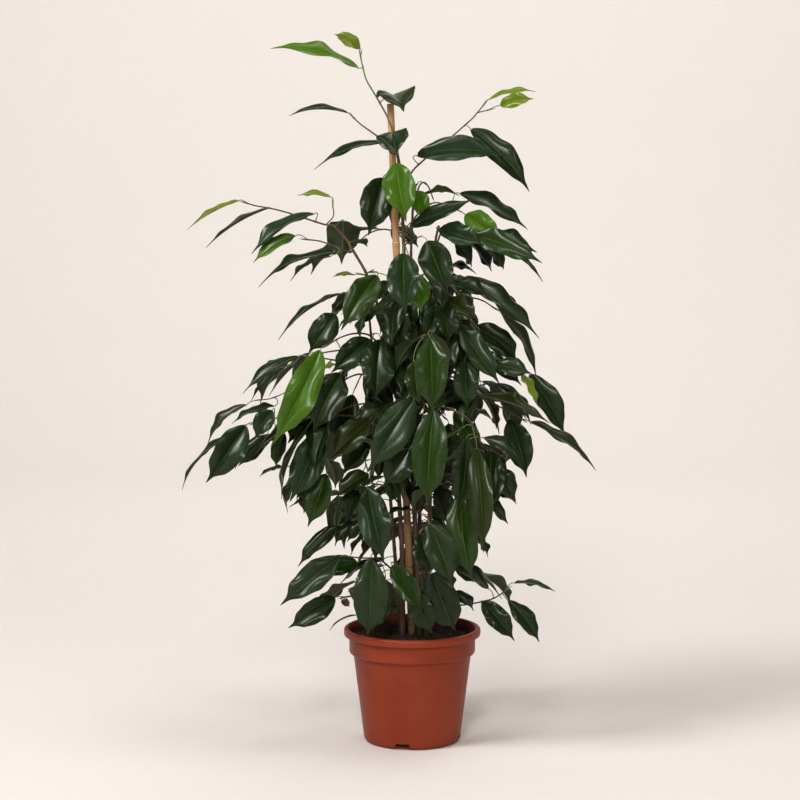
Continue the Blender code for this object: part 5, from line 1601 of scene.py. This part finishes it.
def leaf_finish():
    """Waxy leaf: close side veins that bend to the tip, a pale midrib and margin, and a dull underside."""
    made = Finish("waxy_leaf", 0.3, Specular_IOR_Level=0.36)
    tint = made.attribute("tint", "Color")
    along, across, side = made.split(made.attribute("place", "Vector"))
    off = made.math("ABSOLUTE", across)
    under = made.ramp(side, 0.2, -0.2)
    bend = made.times(made.math("POWER", off, 1.25), 0.085)
    wobble = made.times(made.noise(made.where(), 55.0, 2.0), 0.012)
    lane = made.plus(made.math("SUBTRACT", along, bend), wobble)
    main_line = made.ramp(made.math("PINGPONG", made.times(lane, 36.0), 0.5), 0.13, 0.0)
    fine_line = made.ramp(made.math("PINGPONG", made.times(lane, 108.0), 0.5), 0.3, 0.0)
    veins = made.plus(made.times(main_line, 0.7), made.times(fine_line, 0.3))
    veins = made.times(veins, made.ramp(off, 0.97, 0.86))
    midrib = made.ramp(off, 0.055, 0.015)
    patch = made.noise(made.where(), 38.0, 4.0)
    body = made.layer(tint, made.ramp(patch, 0.35, 0.7), 0.4, made.shaded(tint, (1.35, 1.22, 1.1)))
    body = made.layer(body, veins, 0.22, made.shaded(body, (2.0, 1.75, 1.7)))
    body = made.layer(body, made.noise(made.where(), 900.0, 2.0), 0.12, (0.02, 0.03, 0.01))
    rib_colour = made.mix(0.45, made.shaded(tint, (2.6, 2.2, 1.8)), (0.16, 0.22, 0.06))
    body = made.layer(body, midrib, 0.65, rib_colour)
    body = made.layer(body, made.ramp(off, 0.955, 1.0), 0.55, made.shaded(tint, (3.2, 2.4, 1.6)))
    pale = made.mix(0.42, made.shaded(tint, (2.6, 1.9, 2.6)), (0.085, 0.10, 0.055))
    pale = made.layer(pale, veins, 0.5, made.shaded(pale, (0.72, 0.78, 0.66)))
    pale = made.layer(pale, midrib, 0.7, (0.20, 0.23, 0.10))
    made.colour(made.mix(under, body, pale))
    gloss = made.plus(made.plus(0.17, made.times(patch, 0.20)), made.times(veins, 0.05))
    made.rough(made.plus(gloss, made.times(under, 0.28)))
    relief = made.math("SUBTRACT", made.times(patch, 0.5), made.times(main_line, 0.3))
    made.bump(made.times(relief, made.math("SUBTRACT", 1.0, made.times(under, 1.9))), 0.0004)
    return made.material


def twig_finish():
    """Green or brown twig skin with fine ridges and pores."""
    made = Finish("twig_skin", 0.55)
    tint = made.attribute("tint", "Color")
    grain = made.noise(made.where(), 420.0, 4.0)
    pores = made.ramp(made.noise(made.stretch(made.where(), (1.0, 1.0, 0.5)), 950.0, 1.0), 0.62, 0.72)
    body = made.mix(made.ramp(grain, 0.3, 0.75), made.shaded(tint, (0.6, 0.6, 0.6)), tint)
    made.colour(made.layer(body, pores, 0.6, (0.30, 0.24, 0.15)))
    made.rough(made.plus(0.45, made.times(grain, 0.25)))
    made.bump(made.plus(grain, pores), 0.00025)
    return made.material


def bark_finish():
    """Smooth reddish brown bark, with pale pores in short rows, rings and a greyer, older foot."""
    made = Finish("fig_bark", 0.7)
    where = made.where()
    height = made.split(where)[2]
    along = made.split(made.attribute("place", "Vector"))[0]
    grain = made.noise(made.stretch(where, (1.0, 1.0, 0.18)), 700.0, 4.0)
    cloud = made.noise(where, 60.0, 3.0)
    pores = made.ramp(made.noise(made.stretch(where, (0.7, 0.7, 2.2)), 640.0, 1.0), 0.66, 0.74)
    ring_place = made.node("CombineXYZ", 0.0, 0.0, made.times(along, 0.35)).outputs[0]
    rings = made.ramp(made.noise(ring_place, 1.0, 2.0), 0.55, 0.7)
    body = made.mix(made.ramp(grain, 0.3, 0.7), (0.070, 0.036, 0.020), (0.150, 0.080, 0.045))
    body = made.layer(body, made.ramp(cloud, 0.4, 0.7), 0.5, (0.17, 0.12, 0.075))
    body = made.layer(body, rings, 0.4, (0.055, 0.030, 0.018))
    body = made.layer(body, pores, 0.7, (0.33, 0.25, 0.16))
    made.colour(made.mix(made.ramp(height, *BARK_DAMP), body, (0.045, 0.032, 0.022)))
    made.rough(made.plus(0.55, made.times(grain, 0.3)))
    made.bump(made.plus(made.plus(grain, pores), made.times(rings, 0.5)), 0.0004)
    return made.material


def bamboo_finish():
    """Bamboo with long fibres, darker streaks and a brown foot, darkest under the soil."""
    made = Finish("bamboo_skin", 0.5)
    where = made.where()
    height = made.split(where)[2]
    fibre = made.noise(made.stretch(where, (1.0, 1.0, 0.02)), 1500.0, 3.0)
    streak = made.noise(made.stretch(where, (1.0, 1.0, 0.035)), 330.0, 3.0)
    blotch = made.noise(made.stretch(where, (1.0, 1.0, 0.3)), 45.0, 3.0)
    body = made.mix(made.ramp(fibre, 0.3, 0.7), (0.46, 0.27, 0.12), (0.66, 0.44, 0.23))
    body = made.layer(body, made.ramp(streak, 0.52, 0.68), 0.65, (0.20, 0.095, 0.038))
    body = made.layer(body, made.ramp(blotch, 0.45, 0.75), 0.5, (0.30, 0.16, 0.07))
    body = made.layer(body, made.ramp(height, *CANE_BROWN), 0.62, made.shaded(body, (0.42, 0.32, 0.26)))
    made.colour(made.mix(made.ramp(height, *CANE_DAMP), body, (0.05, 0.03, 0.02)))
    made.rough(made.plus(0.42, made.times(streak, 0.25)))
    made.bump(made.plus(fibre, made.times(streak, 1.5)), 0.00022)
    return made.material


def pot_finish():
    """Moulded terracotta plastic: fine grain, faint scuffs that run round it, and dust from the soil."""
    made = Finish("terracotta_plastic", 0.42, Specular_IOR_Level=0.3)
    where = made.where()
    across, out, height = made.split(where)
    radius = made.math("SQRT", made.plus(made.times(across, across), made.times(out, out)))
    # The inside of the mouth above the soil: painted shade, with soil stain.
    mouth_shade = made.times(made.ramp(radius, *MOUTH_SHADE_RADII), made.ramp(height, *MOUTH_SHADE_HEIGHTS))
    cloud = made.noise(where, 14.0, 4.0)
    grain = made.noise(where, 1400.0, 3.0)
    scuff = made.ramp(made.noise(made.stretch(where, (0.35, 0.35, 4.0)), 120.0, 5.0, 0.7), 0.58, 0.74)
    dust = made.ramp(made.noise(where, 260.0, 5.0, 0.7), 0.58, 0.80)
    low = made.times(made.ramp(height, *FOOT_DUST), 0.35)
    high = made.times(made.ramp(height, *RIM_DUST), 0.30)
    body = made.mix(made.ramp(cloud, 0.3, 0.7), (0.236, 0.0365, 0.0095), (0.280, 0.0475, 0.0145))
    body = made.layer(body, grain, 0.10, (0.15, 0.030, 0.015))
    body = made.layer(body, scuff, 0.16, (0.48, 0.19, 0.11))
    body = made.layer(body, dust, made.plus(made.plus(low, high), 0.05), (0.10, 0.045, 0.025))
    # Darken the inside of the mouth: painted shade, with soil stain.
    made.colour(made.layer(body, mouth_shade, 0.7, (0.055, 0.018, 0.010)))
    made.rough(made.plus(made.plus(0.36, made.times(cloud, 0.12)), made.times(scuff, 0.14)))
    made.bump(made.plus(made.times(grain, 0.5), made.times(cloud, 1.6)), 0.00022, 0.6)
    return made.material


def soil_finish():
    """Dark moist peat with fibres and pale grit."""
    made = Finish("peat", 0.92)
    where = made.where()
    tint = made.attribute("tint", "Color")
    crumb = made.noise(where, 380.0, 6.0, 0.7)
    grit = made.ramp(made.noise(where, 820.0, 2.0), 0.70, 0.76)
    body = made.mix(made.ramp(crumb, 0.3, 0.72), made.shaded(tint, (0.45, 0.42, 0.40)),
                    made.shaded(tint, (1.7, 1.6, 1.5)))
    made.colour(made.layer(body, grit, 0.35, (0.22, 0.17, 0.12)))
    made.rough(made.plus(0.75, made.times(crumb, 0.25)))
    made.bump(made.plus(crumb, grit), 0.0012, 1.0)
    return made.material


def studio_floor():
    """A round pale floor that curves up into a pale wall all round, wide enough for a camera on any side."""
    profile = [(1.5, 0.0), (3.0, 0.0), (FLOOR_RADIUS - SWEEP_SIZE, 0.0)]
    profile += [(FLOOR_RADIUS - SWEEP_SIZE * (1 - math.sin(turn)), SWEEP_SIZE * (1 - math.cos(turn)))
                for turn in spread(0.1, math.pi / 2, 14)]
    profile.append((FLOOR_RADIUS, WALL_HEIGHT))
    middle = Vector((0.0, FLOOR_MIDDLE, 0.0))
    points = [middle + level_at(angle, radius, height) for radius, height in profile
              for angle in turns(FLOOR_SIDES)]
    faces = [tuple(range(FLOOR_SIDES))]
    for ring in range(len(profile) - 1):
        faces += ring_faces((ring + 1) * FLOOR_SIDES, ring * FLOOR_SIDES, FLOOR_SIDES)
    mesh = bpy.data.meshes.new("studio_floor")
    mesh.from_pydata(points, [], faces)
    mesh.shade_smooth()
    paper = Finish("studio_paper", 0.95)
    cloud = paper.noise(paper.where(), 2.0, 2.0)
    paper.colour(paper.mix(cloud, FLOOR_COLOUR, tuple(value * 0.985 for value in FLOOR_COLOUR)))
    mesh.materials.append(paper.material)
    put_in_scene("studio_floor", mesh)


def add_light(name, place, target, size, power):
    """A soft light that shines from a place at a target, and isn't seen itself."""
    lamp = bpy.data.lights.new(name, "AREA")
    lamp.shape = "RECTANGLE"
    lamp.size, lamp.size_y = size
    lamp.energy = power
    lamp.color = LIGHT_COLOUR
    holder = put_in_scene(name, lamp)
    holder.location = place
    holder.visible_camera = False
    holder.rotation_euler = (Vector(target) - Vector(place)).to_track_quat("-Z", "Y").to_euler()


def set_stage():
    """The floor, a faint even light, the soft lights, and the camera at the photograph's angle."""
    scene = bpy.context.scene
    studio_floor()
    scene.world = bpy.data.worlds.new("studio")
    scene.world.use_nodes = True
    sky = scene.world.node_tree.nodes["Background"]
    sky.inputs[0].default_value = (*LIGHT_COLOUR, 1.0)
    sky.inputs[1].default_value = WORLD_LIGHT
    for name, values in LIGHTS.items():
        add_light(name, *values)
    scene.view_settings.view_transform = "Standard"
    scene.view_settings.gamma = DISPLAY_GAMMA
    view = bpy.data.cameras.new("camera")
    view.lens = LENS
    scene.camera = put_in_scene("camera", view)
    scene.camera.location = EYE * MILLIMETRE
    scene.camera.rotation_euler = (math.radians(90.0 - LOOK_DOWN), 0.0, 0.0)


set_stage()
stems, branches, placed = plan_plant()
inner = fill_in(stems, branches, placed)
leaf_materials = [leaf_finish(), twig_finish()]
for number, branch in enumerate(branches):
    fine_branch(branch, stems[branch.stem_name], leaf_materials, number)
for number, holder in enumerate(inner):
    if holder.inner:
        fine_inner(holder, leaf_materials, number)
bark = bark_finish()
for number, (name, (_, _, route)) in enumerate(STEMS.items()):
    fine_stem(name, route, bark, number)
fine_cane(bamboo_finish())
fine_pot(pot_finish())
fine_soil(soil_finish())
